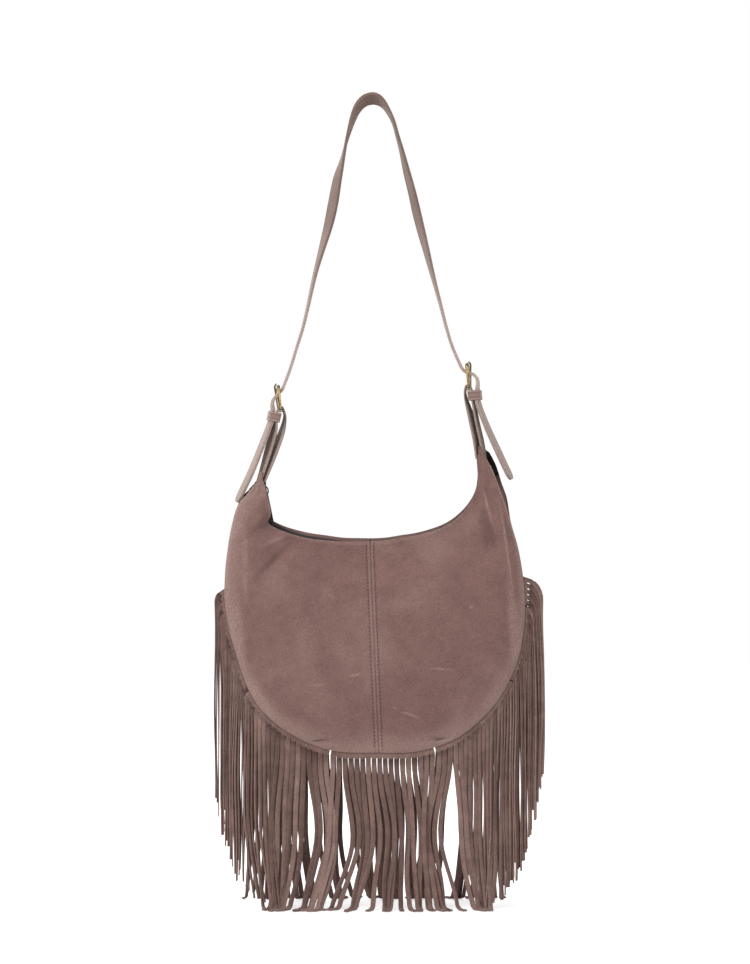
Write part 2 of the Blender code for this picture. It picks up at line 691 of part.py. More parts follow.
def ribbon(name, path, width, thickness, slots, slot_width, finish, ends=(1.0, 1.0)):
    """Closed strip along (point, twist) stations, with through slots between chosen stations.

    The twist is an angle about the strip's length, or the way of its width as a vector.
    """
    count = len(path)
    widths = [1.0] * count
    widths[0], widths[-1] = ends
    split = set()
    for first, last in slots:
        split.update(range(first, last + 1))
    vertices = []
    lines = []
    for k, (centre, twist) in enumerate(path):
        before = path[max(k - 1, 0)][0]
        after = path[min(k + 1, count - 1)][0]
        way = after - before
        way = way / np.linalg.norm(way)
        if isinstance(twist, np.ndarray):
            wide = twist - way * np.dot(twist, way)
            wide = wide / np.linalg.norm(wide)
        else:
            across = np.array([0.0, 1.0, 0.0])
            turn = math.radians(twist)
            wide = math.cos(turn) * across + math.sin(turn) * np.cross(way, across)
        face = np.cross(way, wide)
        half = 0.5 * width * widths[k]
        steps = [-half, half]
        if k in split:
            steps = [-half, -0.5 * slot_width, 0.5 * slot_width, half]
        inner = []
        outer = []
        for step in steps:
            inner.append(len(vertices))
            vertices.append(tuple(centre + wide * step - face * 0.5 * thickness))
            outer.append(len(vertices))
            vertices.append(tuple(centre + wide * step + face * 0.5 * thickness))
        lines.append((inner, outer))
    faces = []
    for k, (one, two) in enumerate(zip(lines, lines[1:])):
        open_here = any(first <= k < last for first, last in slots)
        if not open_here:
            faces.append(tuple(one[0] + two[0][::-1]))
            faces.append(tuple(one[1][::-1] + two[1]))
        else:
            for c in (0, 2):
                faces.append((one[0][c], one[0][c + 1], two[0][c + 1], two[0][c]))
                faces.append((one[1][c], two[1][c], two[1][c + 1], one[1][c + 1]))
            for c in (1, 2):
                faces.append((one[0][c], one[1][c], two[1][c], two[0][c]))
        for c in (0, -1):
            faces.append((one[0][c], two[0][c], two[1][c], one[1][c]))
    for first, last in slots:
        for k in (first, last):
            inner, outer = lines[k]
            faces.append((inner[1], inner[2], outer[2], outer[1]))
    for k in (0, -1):
        inner, outer = lines[k]
        faces.append(tuple(inner + outer[::-1]))
    return solid(name, vertices, faces, finish)


def leg(points, heel, drawn):
    """Points of the free strap, stretched with the place of the buckle."""
    wide = heel[0] / (drawn[0] * MM)
    tall = heel[2] / (drawn[1] * MM)
    return [(np.array([x * MM * wide, 0.0, z * MM * tall]), twist) for x, z, twist in points]


def shoulder_strap():
    """Two layers sewn as one long strip, threaded through both buckles."""
    left = [(LEFT.place(up, out), twist) for up, out, twist in LEFT_TAIL]
    right = [(RIGHT.place(up, out), twist) for up, out, twist in RIGHT_TAIL]
    path = list(left)
    path += leg(LEFT_LEG, LEFT.heel, DRAWN_LEFT_HEEL)
    path += [(np.array([APEX[0] * MM, 0.0, APEX[1] * MM]), APEX[2])]
    path += leg(RIGHT_LEG, RIGHT.heel, DRAWN_RIGHT_HEEL)
    path += right[::-1]
    path.insert(1, (path[0][0] * 0.75 + path[1][0] * 0.25, path[0][1]))
    path.insert(-1, (path[-1][0] * 0.75 + path[-2][0] * 0.25, path[-1][1]))
    last = len(path) - 1
    slots = [(LEFT_SLOT[0] + 1, LEFT_SLOT[1] + 1), (last - RIGHT_SLOT[1] - 1, last - RIGHT_SLOT[0] - 1)]
    slot = 2.0 * (PRONG_RADIUS + PRONG_SIDE_PLAY) + 0.0008
    return ribbon("shoulder_strap", path, STRAP_WIDTH, STRAP_THICKNESS, slots, slot,
                  strap_suede(), ends=(0.55, 0.55))


def chape(buckle, outer, inner, mouth):
    """Folded tab round the heel bar, with a slot for the prong, both ends caught in the peak."""
    radius = BAR_RADIUS + FIT + 0.5 * CHAPE_THICKNESS + 0.0001
    path = [(buckle.place(up, out), buckle.width_way(twist)) for up, out, twist in outer]
    first = len(path)
    ends = [(buckle.place(up, out), buckle.width_way(BUCKLE_TWIST + 1.0)) for up, out in mouth]
    path.append(ends[0])
    for angle in (0.0, 30.0, 60.0, 90.0, 120.0, 150.0, 180.0):
        turn = math.radians(angle)
        point = buckle.local(radius * math.sin(turn), radius * math.cos(turn), 0.0)
        path.append((point, buckle.width_way(BUCKLE_TWIST)))
    path.append(ends[1])
    last = len(path) - 1
    path += [(buckle.place(up, out), buckle.width_way(twist)) for up, out, twist in inner]
    slot = PRONG_EYE_WIDTH + 2.0 * PRONG_SIDE_PLAY
    return ribbon("%s_chape" % buckle.name, path, STRAP_WIDTH, CHAPE_THICKNESS, [(first, last)],
                  slot, strap_suede())


def keeper(buckle, where):
    """Loop of suede round the tail of the strap and the outer layer of the chape."""
    up, out, lean, twist, bore = where
    centre = buckle.place(up, out)
    lean = math.radians(lean)
    twist = math.radians(twist)
    way = buckle.up * math.cos(lean) - buckle.flat * math.sin(lean)
    flat = buckle.flat * math.cos(lean) + buckle.up * math.sin(lean)
    face = math.cos(twist) * flat + math.sin(twist) * np.array([0.0, -1.0, 0.0])
    along = np.cross(way, face)
    half_wide = 0.5 * STRAP_WIDTH + KEEPER_SIDE_PLAY
    half_deep = 0.5 * bore
    through = flat / math.cos(twist)
    vertices = []
    for end in (-0.5, 0.5):
        for grow in (0.0, KEEPER_WALL):
            for a, b in ((-1, -1), (1, -1), (1, 1), (-1, 1)):
                point = centre + way * end * KEEPER_HEIGHT
                point = point + along * a * (half_wide + grow) + through * b * (half_deep + grow)
                vertices.append(tuple(point))
    faces = []
    for c in range(4):
        d = (c + 1) % 4
        faces.append((c, d, d + 8, c + 8))
        faces.append((c + 4, c + 12, d + 12, d + 4))
        faces.append((c, c + 4, d + 4, d))
        faces.append((c + 8, d + 8, d + 12, c + 12))
    return solid("%s_keeper" % buckle.name, vertices, faces, strap_suede(), centre)


def ring_faces(rings, closed):
    """Faces between rings of corners of one swept section."""
    size = len(rings[0])
    faces = []
    pairs = list(zip(rings, rings[1:]))
    if closed:
        pairs.append((rings[-1], rings[0]))
    for one, two in pairs:
        for e in range(size):
            f = (e + 1) % size
            faces.append((one[e], one[f], two[f], two[e]))
    if not closed:
        faces.append(tuple(rings[0][::-1]))
        faces.append(tuple(rings[-1]))
    return faces


def buckle_frame(buckle):
    """Closed brass frame: heel bar, two side bars and a thicker top bar."""
    half = 0.5 * STRAP_WIDTH + BUCKLE_SIDE_PLAY + BAR_RADIUS
    corner = 0.0030
    path = []
    for up, along, start in ((0.0, half, -90.0), (BUCKLE_PITCH, half, 0.0),
                             (BUCKLE_PITCH, -half, 90.0), (0.0, -half, 180.0)):
        middle_up = up + corner if up == 0.0 else up - corner
        middle_along = along - corner if along > 0 else along + corner
        for step in (0.0, 30.0, 60.0, 90.0):
            turn = math.radians(start + step)
            path.append((middle_up + corner * math.sin(turn), middle_along + corner * math.cos(turn)))
    vertices = []
    rings = []
    for k, (up, along) in enumerate(path):
        before = path[k - 1]
        after = path[(k + 1) % len(path)]
        way = np.array([after[0] - before[0], after[1] - before[1]])
        way = way / np.hypot(*way)
        side = np.array([-way[1], way[0]])
        share = ramp(0.55 * BUCKLE_PITCH, BUCKLE_PITCH, up)
        radius = BAR_RADIUS + (TOP_BAR_RADIUS - BAR_RADIUS) * share
        ring = []
        for e in range(8):
            turn = math.radians(22.5 + 45.0 * e)
            spread = radius * math.cos(turn)
            ring.append(len(vertices))
            vertices.append(tuple(buckle.local(up + side[0] * spread, radius * math.sin(turn),
                                               along + side[1] * spread)))
        rings.append(ring)
    return solid("%s_buckle_frame" % buckle.name, vertices, ring_faces(rings, True), brass(),
                 buckle.heel)


def eye(buckle, centre_up, centre_out, bore, wall, width, name):
    """Short tube round an axis along the bars."""
    vertices = []
    rings = []
    for e in range(14):
        turn = 2.0 * math.pi * e / 14
        ring = []
        for radius, along in ((bore, -0.5), (bore + wall, -0.5), (bore + wall, 0.5), (bore, 0.5)):
            ring.append(len(vertices))
            vertices.append(tuple(buckle.local(centre_up + radius * math.sin(turn),
                                               centre_out + radius * math.cos(turn), along * width)))
        rings.append(ring)
    return solid(name, vertices, ring_faces(rings, True), brass(), buckle.heel)


def buckle_prong(buckle):
    """Prong with an eye round the heel bar and a tip curled over the top bar."""
    bore = BAR_RADIUS + FIT
    made = eye(buckle, 0.0, 0.0, bore, PRONG_EYE_WALL, PRONG_EYE_WIDTH,
               "%s_buckle_prong" % buckle.name)
    over = TOP_BAR_RADIUS + FIT + PRONG_RADIUS
    low = bore + 0.6 * PRONG_EYE_WALL
    path = [(0.0, low), (0.30 * BUCKLE_PITCH, low + 0.0002), (0.85 * BUCKLE_PITCH, over),
            (BUCKLE_PITCH, over + 0.0001), (BUCKLE_PITCH + 0.0022, over - 0.0008),
            (BUCKLE_PITCH + 0.0040, over - 0.0026)]
    vertices = []
    rings = []
    for k, (up, out) in enumerate(path):
        before = path[max(k - 1, 0)]
        after = path[min(k + 1, len(path) - 1)]
        way = np.array([after[0] - before[0], after[1] - before[1]])
        way = way / np.hypot(*way)
        radius = PRONG_RADIUS * (0.6 if k == len(path) - 1 else 1.0)
        ring = []
        for e in range(6):
            turn = math.radians(60.0 * e)
            spread = radius * math.cos(turn)
            ring.append(len(vertices))
            vertices.append(tuple(buckle.local(up - way[1] * spread, out + way[0] * spread,
                                               radius * math.sin(turn))))
        rings.append(ring)
    shaft = solid("shaft", vertices, ring_faces(rings, False), brass(), buckle.heel)
    cut_or_join(made, shaft, "UNION")
    return made


# Zip


ZIP_BOTTOM = rim_point(CENTRE)
ZIP_CENTRE = np.array([ZIP_BOTTOM[0], 0.0, ZIP_BOTTOM[1] - ZIP_RECESS + ZIP_RADIUS])
COIL_HALF = 0.5 * COIL_SPLIT + COIL_SIZE
TAPE_EDGE = COIL_HALF + FIT


def zip_point(angle, rise, y):
    """Point on the arc of the zip, raised toward the centre of the arc."""
    radius = ZIP_RADIUS - rise
    return ZIP_CENTRE + np.array([radius * math.sin(angle), y, -radius * math.cos(angle)])


def rim_height(x, side):
    """Height of the rim above a place along the mouth."""
    stations = np.linspace(4.0, 19.0, 61)
    rims = np.array([inner_point(at, 0.0, side) for at in stations])
    return float(np.interp(x, rims[:, 0], rims[:, 2]))


def zip_tape(name, side):
    """Tape from the coil to the panel, turned up inside the rim."""
    out = MOUTH_HALF - FIT
    edge = TAPE_EDGE
    half = 0.5 * TAPE_THICKNESS
    vertices = []
    rings = []
    for angle in np.linspace(ZIP_LEFT_ANGLE, ZIP_RIGHT_ANGLE, 17):
        low = zip_point(angle, 0.0, 0.0)
        room = (rim_height(low[0], side) - RIM_FACING - low[2]) / math.cos(angle)
        top = min(max(room, 0.0012), 0.014)
        ring = []
        for y, rise in ((edge, -half), (out, -half), (out, top), (out - TAPE_THICKNESS, top),
                        (out - TAPE_THICKNESS, half), (edge, half)):
            ring.append(len(vertices))
            vertices.append(tuple(zip_point(angle, rise, side * y)))
        rings.append(ring)
    return solid(name, vertices, ring_faces(rings, False), tape_cloth())


def zip_coil(name, side):
    """One row of the coil as a plain bar, sewn to the edge of its tape."""
    vertices = []
    rings = []
    half = 0.5 * COIL_SIZE
    for angle in np.linspace(ZIP_LEFT_ANGLE + 0.004, ZIP_RIGHT_ANGLE - 0.004, 17):
        ring = []
        for y, rise in ((0.5 * COIL_SPLIT, -half), (COIL_HALF, -half), (COIL_HALF, half),
                        (0.5 * COIL_SPLIT, half)):
            ring.append(len(vertices))
            vertices.append(tuple(zip_point(angle, rise, side * y)))
        rings.append(ring)
    return solid(name, vertices, ring_faces(rings, False), coil_nylon())


def arc_block(name, angle, along, rise, across, finish, origin=(0.0, 0.0, 0.0)):
    """Box given by ranges along the arc, toward its centre and across it, all in metres."""
    base = zip_point(angle, 0.0, 0.0)
    way = np.array([math.cos(angle), 0.0, math.sin(angle)])
    up = np.array([-math.sin(angle), 0.0, math.cos(angle)])
    vertices = []
    for y in across:
        for r in rise:
            for a in along:
                vertices.append(tuple(base + way * a + up * r + np.array([0.0, y, 0.0])))
    faces = [(0, 1, 3, 2), (4, 6, 7, 5), (0, 4, 5, 1), (2, 3, 7, 6), (0, 2, 6, 4), (1, 5, 7, 3)]
    return solid(name, vertices, faces, finish, origin)


def zip_stops():
    """Small crimped blocks beyond both ends of the coils."""
    for name, angle, way in (("zip_stop_left", ZIP_LEFT_ANGLE + 0.004, -1.0),
                             ("zip_stop_right", ZIP_RIGHT_ANGLE - 0.004, 1.0)):
        along = sorted((way * FIT, way * 0.0018))
        half = 0.5 * COIL_SIZE
        wide = COIL_HALF
        arc_block(name, angle, along, (-half, half), (-wide, wide), dark_metal())


SLIDER_ANGLE = ZIP_LEFT_ANGLE + 0.004 + 0.62 * SLIDER_LENGTH / ZIP_RADIUS
PIN_RISE = 0.5 * COIL_SIZE + FIT + SLIDER_PLATE + 0.0026
PIN_RADIUS = 0.0007
PIN_ALONG = -0.0030


def zip_slider():
    """Two plates with a thin web that runs between the coils, lugs and a pin for the pull."""
    low = 0.5 * COIL_SIZE + FIT
    high = low + SLIDER_PLATE
    long = 0.5 * SLIDER_LENGTH
    wide = 0.5 * SLIDER_WIDTH
    web = 0.5 * COIL_SPLIT - FIT
    lip = 0.5 * TAPE_THICKNESS + FIT
    finish = dark_metal()
    origin = tuple(ZIP_CENTRE)
    made = arc_block("zip_slider", SLIDER_ANGLE, (-long, long), (low, high), (-wide, wide), finish,
                     origin)
    blocks = [
        ((-0.45 * long, 0.35 * long), (-low - 0.0004, low + 0.0004), (-web, web)),
        ((-0.9 * long, 0.9 * long), (lip, low + 0.0004), (wide - 0.0008, wide - 0.0002)),
        ((-0.9 * long, 0.9 * long), (lip, low + 0.0004), (-wide + 0.0002, -wide + 0.0008)),
        ((-0.97 * long, 0.97 * long), (-high, -low), (-wide, wide)),
    ]
    for side in (-1.0, 1.0):
        near = side * 0.0016
        far = side * 0.0025
        blocks.append(((PIN_ALONG - 0.0014, PIN_ALONG + 0.0014), (high - 0.0002, PIN_RISE + 0.0014),
                       tuple(sorted((near, far)))))
    for along, rise, across in blocks:
        cut_or_join(made, arc_block("block", SLIDER_ANGLE, along, rise, across, finish, origin),
                    "UNION")
    pin = zip_rod("pin", PIN_RADIUS, (-0.0020, 0.0020), 12)
    cut_or_join(made, pin, "UNION")
    return made


def pin_centre():
    """Middle of the slider's pin, the axis of the pull."""
    way = np.array([math.cos(SLIDER_ANGLE), 0.0, math.sin(SLIDER_ANGLE)])
    return zip_point(SLIDER_ANGLE, PIN_RISE, 0.0) + way * PIN_ALONG


def zip_rod(name, radius, across, corners):
    """Round rod along y at the slider's pin."""
    centre = pin_centre()
    vertices = []
    rings = []
    for y in across:
        ring = []
        for e in range(corners):
            turn = 2.0 * math.pi * e / corners
            ring.append(len(vertices))
            vertices.append((centre[0] + radius * math.cos(turn), y,
                             centre[2] + radius * math.sin(turn)))
        rings.append(ring)
    return solid(name, vertices, ring_faces(rings, False), dark_metal(), tuple(ZIP_CENTRE))


def zip_pull():
    """Flat tab with an eye on the slider's pin and a ring of thin wire at its far end."""
    centre = pin_centre()
    up = np.array([-math.sin(PULL_LEAN), 0.0, math.cos(PULL_LEAN)])
    side = np.array([math.cos(PULL_LEAN), 0.0, math.sin(PULL_LEAN)])
    across_y = np.array([0.0, 1.0, 0.0])
    half_wide = 0.5 * PULL_WIDTH
    outline = []
    for e in range(9):
        turn = math.pi + math.pi * e / 8
        outline.append((half_wide * math.cos(turn), half_wide * math.sin(turn)))
    outline += [(0.6 * half_wide, PULL_LENGTH), (-0.6 * half_wide, PULL_LENGTH)]
    made = prism("zip_pull", centre, side, up, across_y, outline, 0.5 * PULL_THICKNESS)
    bore = PIN_RADIUS + FIT
    round_hole = [(bore * math.cos(math.radians(30.0 * e)), bore * math.sin(math.radians(30.0 * e)))
                  for e in range(12)]
    cut_or_join(made, prism("drill", centre, side, up, across_y, round_hole, 0.004), "DIFFERENCE")
    cut_or_join(made, pull_ring(centre, up, side), "UNION")
    return made


def prism(name, centre, side, up, through, outline, half):
    """Flat piece with the given outline, as thick as twice the half."""
    vertices = []
    rings = []
    for depth in (-half, half):
        ring = []
        for across, rise in outline:
            ring.append(len(vertices))
            vertices.append(tuple(centre + side * across + up * rise + through * depth))
        rings.append(ring)
    return solid(name, vertices, ring_faces(rings, False), dark_metal(), tuple(centre))


def pull_ring(centre, up, side):
    """Wire ring that ends the pull, turned out of the plane of the bag."""
    reach = PULL_LENGTH + PULL_RING_RADIUS + PULL_RING_WIRE - 0.0009
    middle = centre + up * reach
    flat = math.cos(PULL_RING_TURN) * side + math.sin(PULL_RING_TURN) * np.array([0.0, 1.0, 0.0])
    thick = np.cross(up, flat)
    vertices = []
    rings = []
    for k in range(18):
        turn = 2.0 * math.pi * k / 18
        radial = math.cos(turn) * flat + math.sin(turn) * up
        ring = []
        for e in range(6):
            around = math.radians(60.0 * e)
            spread = PULL_RING_RADIUS + PULL_RING_WIRE * math.cos(around)
            ring.append(len(vertices))
            vertices.append(tuple(middle + radial * spread
                                  + thick * PULL_RING_WIRE * math.sin(around)))
        rings.append(ring)
    return solid("ring", vertices, ring_faces(rings, True), dark_metal(), tuple(centre))


def build():
    """Clear the file and make every sub-part."""
    for old in list(bpy.data.objects):
        bpy.data.objects.remove(old)
    half_panel("front_panel_left", -1, True)
    half_panel("front_panel_right", -1, False)
    half_panel("back_panel_left", 1, True)
    half_panel("back_panel_right", 1, False)
    gusset()
    lining()
    fringes()
    shoulder_strap()
    chape(LEFT, LEFT_CHAPE_OUTER, LEFT_CHAPE_INNER, LEFT_CHAPE_MOUTH)
    chape(RIGHT, RIGHT_CHAPE_OUTER, RIGHT_CHAPE_INNER, RIGHT_CHAPE_MOUTH)
    keeper(LEFT, LEFT_KEEPER)
    keeper(RIGHT, RIGHT_KEEPER)
    for buckle in (LEFT, RIGHT):
        buckle_frame(buckle)
        buckle_prong(buckle)
    zip_tape("zip_tape_front", -1.0)
    zip_tape("zip_tape_back", 1.0)
    zip_coil("zip_coil_front", -1.0)
    zip_coil("zip_coil_back", 1.0)
    zip_stops()
    zip_slider()
    zip_pull()


build()
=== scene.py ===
"""Looks of the fringed suede shoulder bag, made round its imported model.

Units are metres. +Z is up and -Y is the front. The bag hangs from the underside of its strap, which
is the origin, and the ends of the lowest fringe lie on the floor.
"""

import logging
import math
import random
from dataclasses import dataclass, field
from enum import Enum
from typing import Callable, Sequence

import bpy
import numpy as np
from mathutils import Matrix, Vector


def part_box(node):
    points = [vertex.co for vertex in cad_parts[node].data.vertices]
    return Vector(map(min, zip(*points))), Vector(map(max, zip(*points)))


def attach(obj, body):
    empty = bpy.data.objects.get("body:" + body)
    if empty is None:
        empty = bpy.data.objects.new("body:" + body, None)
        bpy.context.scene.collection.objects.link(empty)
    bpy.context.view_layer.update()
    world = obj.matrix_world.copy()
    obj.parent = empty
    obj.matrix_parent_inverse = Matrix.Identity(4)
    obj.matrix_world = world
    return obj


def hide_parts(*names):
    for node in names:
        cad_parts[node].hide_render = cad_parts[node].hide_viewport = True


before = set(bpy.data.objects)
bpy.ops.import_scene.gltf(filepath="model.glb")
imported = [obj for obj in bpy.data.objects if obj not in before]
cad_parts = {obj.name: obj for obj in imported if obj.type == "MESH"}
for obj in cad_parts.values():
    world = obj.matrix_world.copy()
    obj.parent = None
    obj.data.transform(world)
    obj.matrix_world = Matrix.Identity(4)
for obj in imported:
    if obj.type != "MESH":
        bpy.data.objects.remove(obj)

LOG = logging.getLogger("bag")
MM = 0.001
BODY = "bag"
FLOOR_Z = -0.950
PHOTO_SCALE = 0.00118
FIT = 0.0003
Array = np.ndarray


def vec(*parts: float) -> Array:
    """Array of floats from its parts."""
    return np.array(parts, float)


def unit(way: Array) -> Array:
    """The vector at length one."""
    return way / max(float(np.linalg.norm(way)), 1e-12)


def at_pixel(x: float, y: float) -> tuple[float, float]:
    """Place x and z, in the plane of the strap, of a pixel of the photograph."""
    return (x - 371.5) * PHOTO_SCALE, (100.0 - y) * PHOTO_SCALE


def ramp(low: float, high: float, at: float) -> float:
    """Smooth step from 0 to 1 between two values."""
    t = min(max((at - low) / (high - low), 0.0), 1.0)
    return t * t * (3.0 - 2.0 * t)


def ease(pairs: Sequence[tuple[float, float]], at: float) -> float:
    """Value at a station with smooth steps between the listed ones.

    Args:
        pairs: Stations with their values, in order.
        at: Station that is asked for.

    Returns:
        The value there.
    """
    if at <= pairs[0][0]:
        return pairs[0][1]
    for (a, low), (b, high) in zip(pairs, pairs[1:]):
        if at <= b:
            return low + (high - low) * ramp(a, b, at)
    return pairs[-1][1]


def flowing(rows: Array, at: float) -> Array:
    """Row of a Catmull-Rom curve through the rows of an array.

    Args:
        rows: Points or other rows that the curve passes through.
        at: Fractional row number.

    Returns:
        The row there.
    """
    last = len(rows) - 1
    at = min(max(at, 0.0), float(last))
    i = min(int(at), last - 1)
    t = at - i
    b, c = rows[i], rows[i + 1]
    a = rows[i - 1] if i > 0 else 2.0 * b - c
    d = rows[i + 2] if i + 2 <= last else 2.0 * c - b
    return 0.5 * (2.0 * b + (c - a) * t + (2.0 * a - 5.0 * b + 4.0 * c - d) * t * t
                  + (3.0 * b - a - 3.0 * c + d) * t ** 3)


def even_steps(rows: Array, step: float, size: int = 3) -> Array:
    """Rows of a smooth curve at even steps of its length.

    Args:
        rows: Rows that start with the coordinates of a point.
        step: Wanted distance between the new rows.
        size: How many coordinates count for the length.

    Returns:
        The new rows, with both ends kept.
    """
    fine = np.array([flowing(rows, t) for t in np.linspace(0, len(rows) - 1, 12 * len(rows))])
    run = np.concatenate([[0.0], np.cumsum(np.linalg.norm(np.diff(fine[:, :size], axis=0), axis=1))])
    wanted = np.linspace(0.0, run[-1], max(int(run[-1] / step), 2) + 1)
    return np.array([[np.interp(w, run, fine[:, k]) for k in range(fine.shape[1])] for w in wanted])


# Finishes


class Slot(Enum):
    """Material slots of the record."""

    BODY = "body_suede"
    STRAP = "strap_suede"
    FRINGE = "fringe_suede"
    LINING = "lining"
    TAPE = "zip_tape"
    COIL = "zip_coil"
    METAL = "dark_metal"
    BRASS = "antique_brass"


class NodeSheet:
    """Small helper that lays the nodes of one material."""

    def __init__(self, name: str) -> None:
        """Start a material with its shader.

        Args:
            name: Name of the material.
        """
        self.material = bpy.data.materials.new(name)
        self.material.use_nodes = True
        self.tree = self.material.node_tree
        self.shader = self.tree.nodes["Principled BSDF"]
        self.place = self.add("ShaderNodeTexCoord").outputs["Object"]

    def add(self, kind: str, **settings: object) -> bpy.types.Node:
        """New node of a kind, with its settings."""
        node = self.tree.nodes.new(kind)
        for key, value in settings.items():
            setattr(node, key, value)
        return node

    def link(self, source: bpy.types.NodeSocket, target: bpy.types.NodeSocket) -> None:
        """Join two sockets."""
        self.tree.links.new(source, target)

    def feed(self, socket: bpy.types.NodeSocket, value: object) -> None:
        """Link a socket, or set it to a constant."""
        if isinstance(value, bpy.types.NodeSocket):
            self.link(value, socket)
        else:
            socket.default_value = value

    def noise(self, scale: float, detail: float = 2.0, stretch: Sequence[float] = (1, 1, 1),
              warp: float = 0.0, place: bpy.types.NodeSocket | None = None) -> bpy.types.NodeSocket:
        """Noise value on the piece's own coordinates.

        Args:
            scale: Features to the metre.
            detail: Octaves.
            stretch: Scale of each axis.
            warp: Distortion.
            place: Coordinates, if not the object's.

        Returns:
            The noise's value.
        """
        mapping = self.add("ShaderNodeMapping")
        mapping.inputs["Scale"].default_value = tuple(stretch)
        self.link(place or self.place, mapping.inputs["Vector"])
        node = self.add("ShaderNodeTexNoise")
        node.inputs["Scale"].default_value = scale
        node.inputs["Detail"].default_value = detail
        node.inputs["Distortion"].default_value = warp
        self.link(mapping.outputs["Vector"], node.inputs["Vector"])
        return node.outputs["Fac"]

    def span(self, value: bpy.types.NodeSocket, low: float, high: float, out_low: float = 0.0,
             out_high: float = 1.0) -> bpy.types.NodeSocket:
        """Value stretched smoothly from one range to another."""
        node = self.add("ShaderNodeMapRange", interpolation_type="SMOOTHSTEP")
        for name, number in (("From Min", low), ("From Max", high), ("To Min", out_low),
                             ("To Max", out_high)):
            node.inputs[name].default_value = number
        self.link(value, node.inputs["Value"])
        return node.outputs["Result"]

    def sum(self, kind: str, first: object, second: object = 0.0) -> bpy.types.NodeSocket:
        """Result of one arithmetic step."""
        node = self.add("ShaderNodeMath", operation=kind)
        self.feed(node.inputs[0], first)
        self.feed(node.inputs[1], second)
        return node.outputs[0]

    def blend(self, share: object, first: object, second: object,
              kind: str = "MIX") -> bpy.types.NodeSocket:
        """Mix of two colours."""
        node = self.add("ShaderNodeMix", data_type="RGBA", blend_type=kind)
        self.feed(node.inputs[0], share)
        for socket, colour in ((node.inputs[6], first), (node.inputs[7], second)):
            self.feed(socket, (*colour, 1.0) if isinstance(colour, tuple) else colour)
        return node.outputs[2]

    def painted(self, name: str) -> bpy.types.NodeSocket:
        """Value that the mesh carries at its points."""
        return self.add("ShaderNodeAttribute", attribute_name=name).outputs["Fac"]

    def bump(self, height: bpy.types.NodeSocket, strength: float, distance: float) -> None:
        """Relief of the surface."""
        node = self.add("ShaderNodeBump")
        node.inputs["Strength"].default_value = strength
        node.inputs["Distance"].default_value = distance
        self.link(height, node.inputs["Height"])
        self.link(node.outputs["Normal"], self.shader.inputs["Normal"])

    def gloss(self, **values: object) -> None:
        """Constant values of the shader, by socket name with _ for a space."""
        for name, value in values.items():
            self.shader.inputs[name.replace("_", " ")].default_value = value


@dataclass(frozen=True)
class ScuffAndShading:
    """Mark on the nap of the front, by pixels of the photograph: an abrasion of the nap, a painted highlight
    on a ridge or lit edge, or painted shade in a fold hollow; pale, or dark below zero.
    """

    x: float
    y: float
    long: float
    high: float
    lean: float
    strength: float


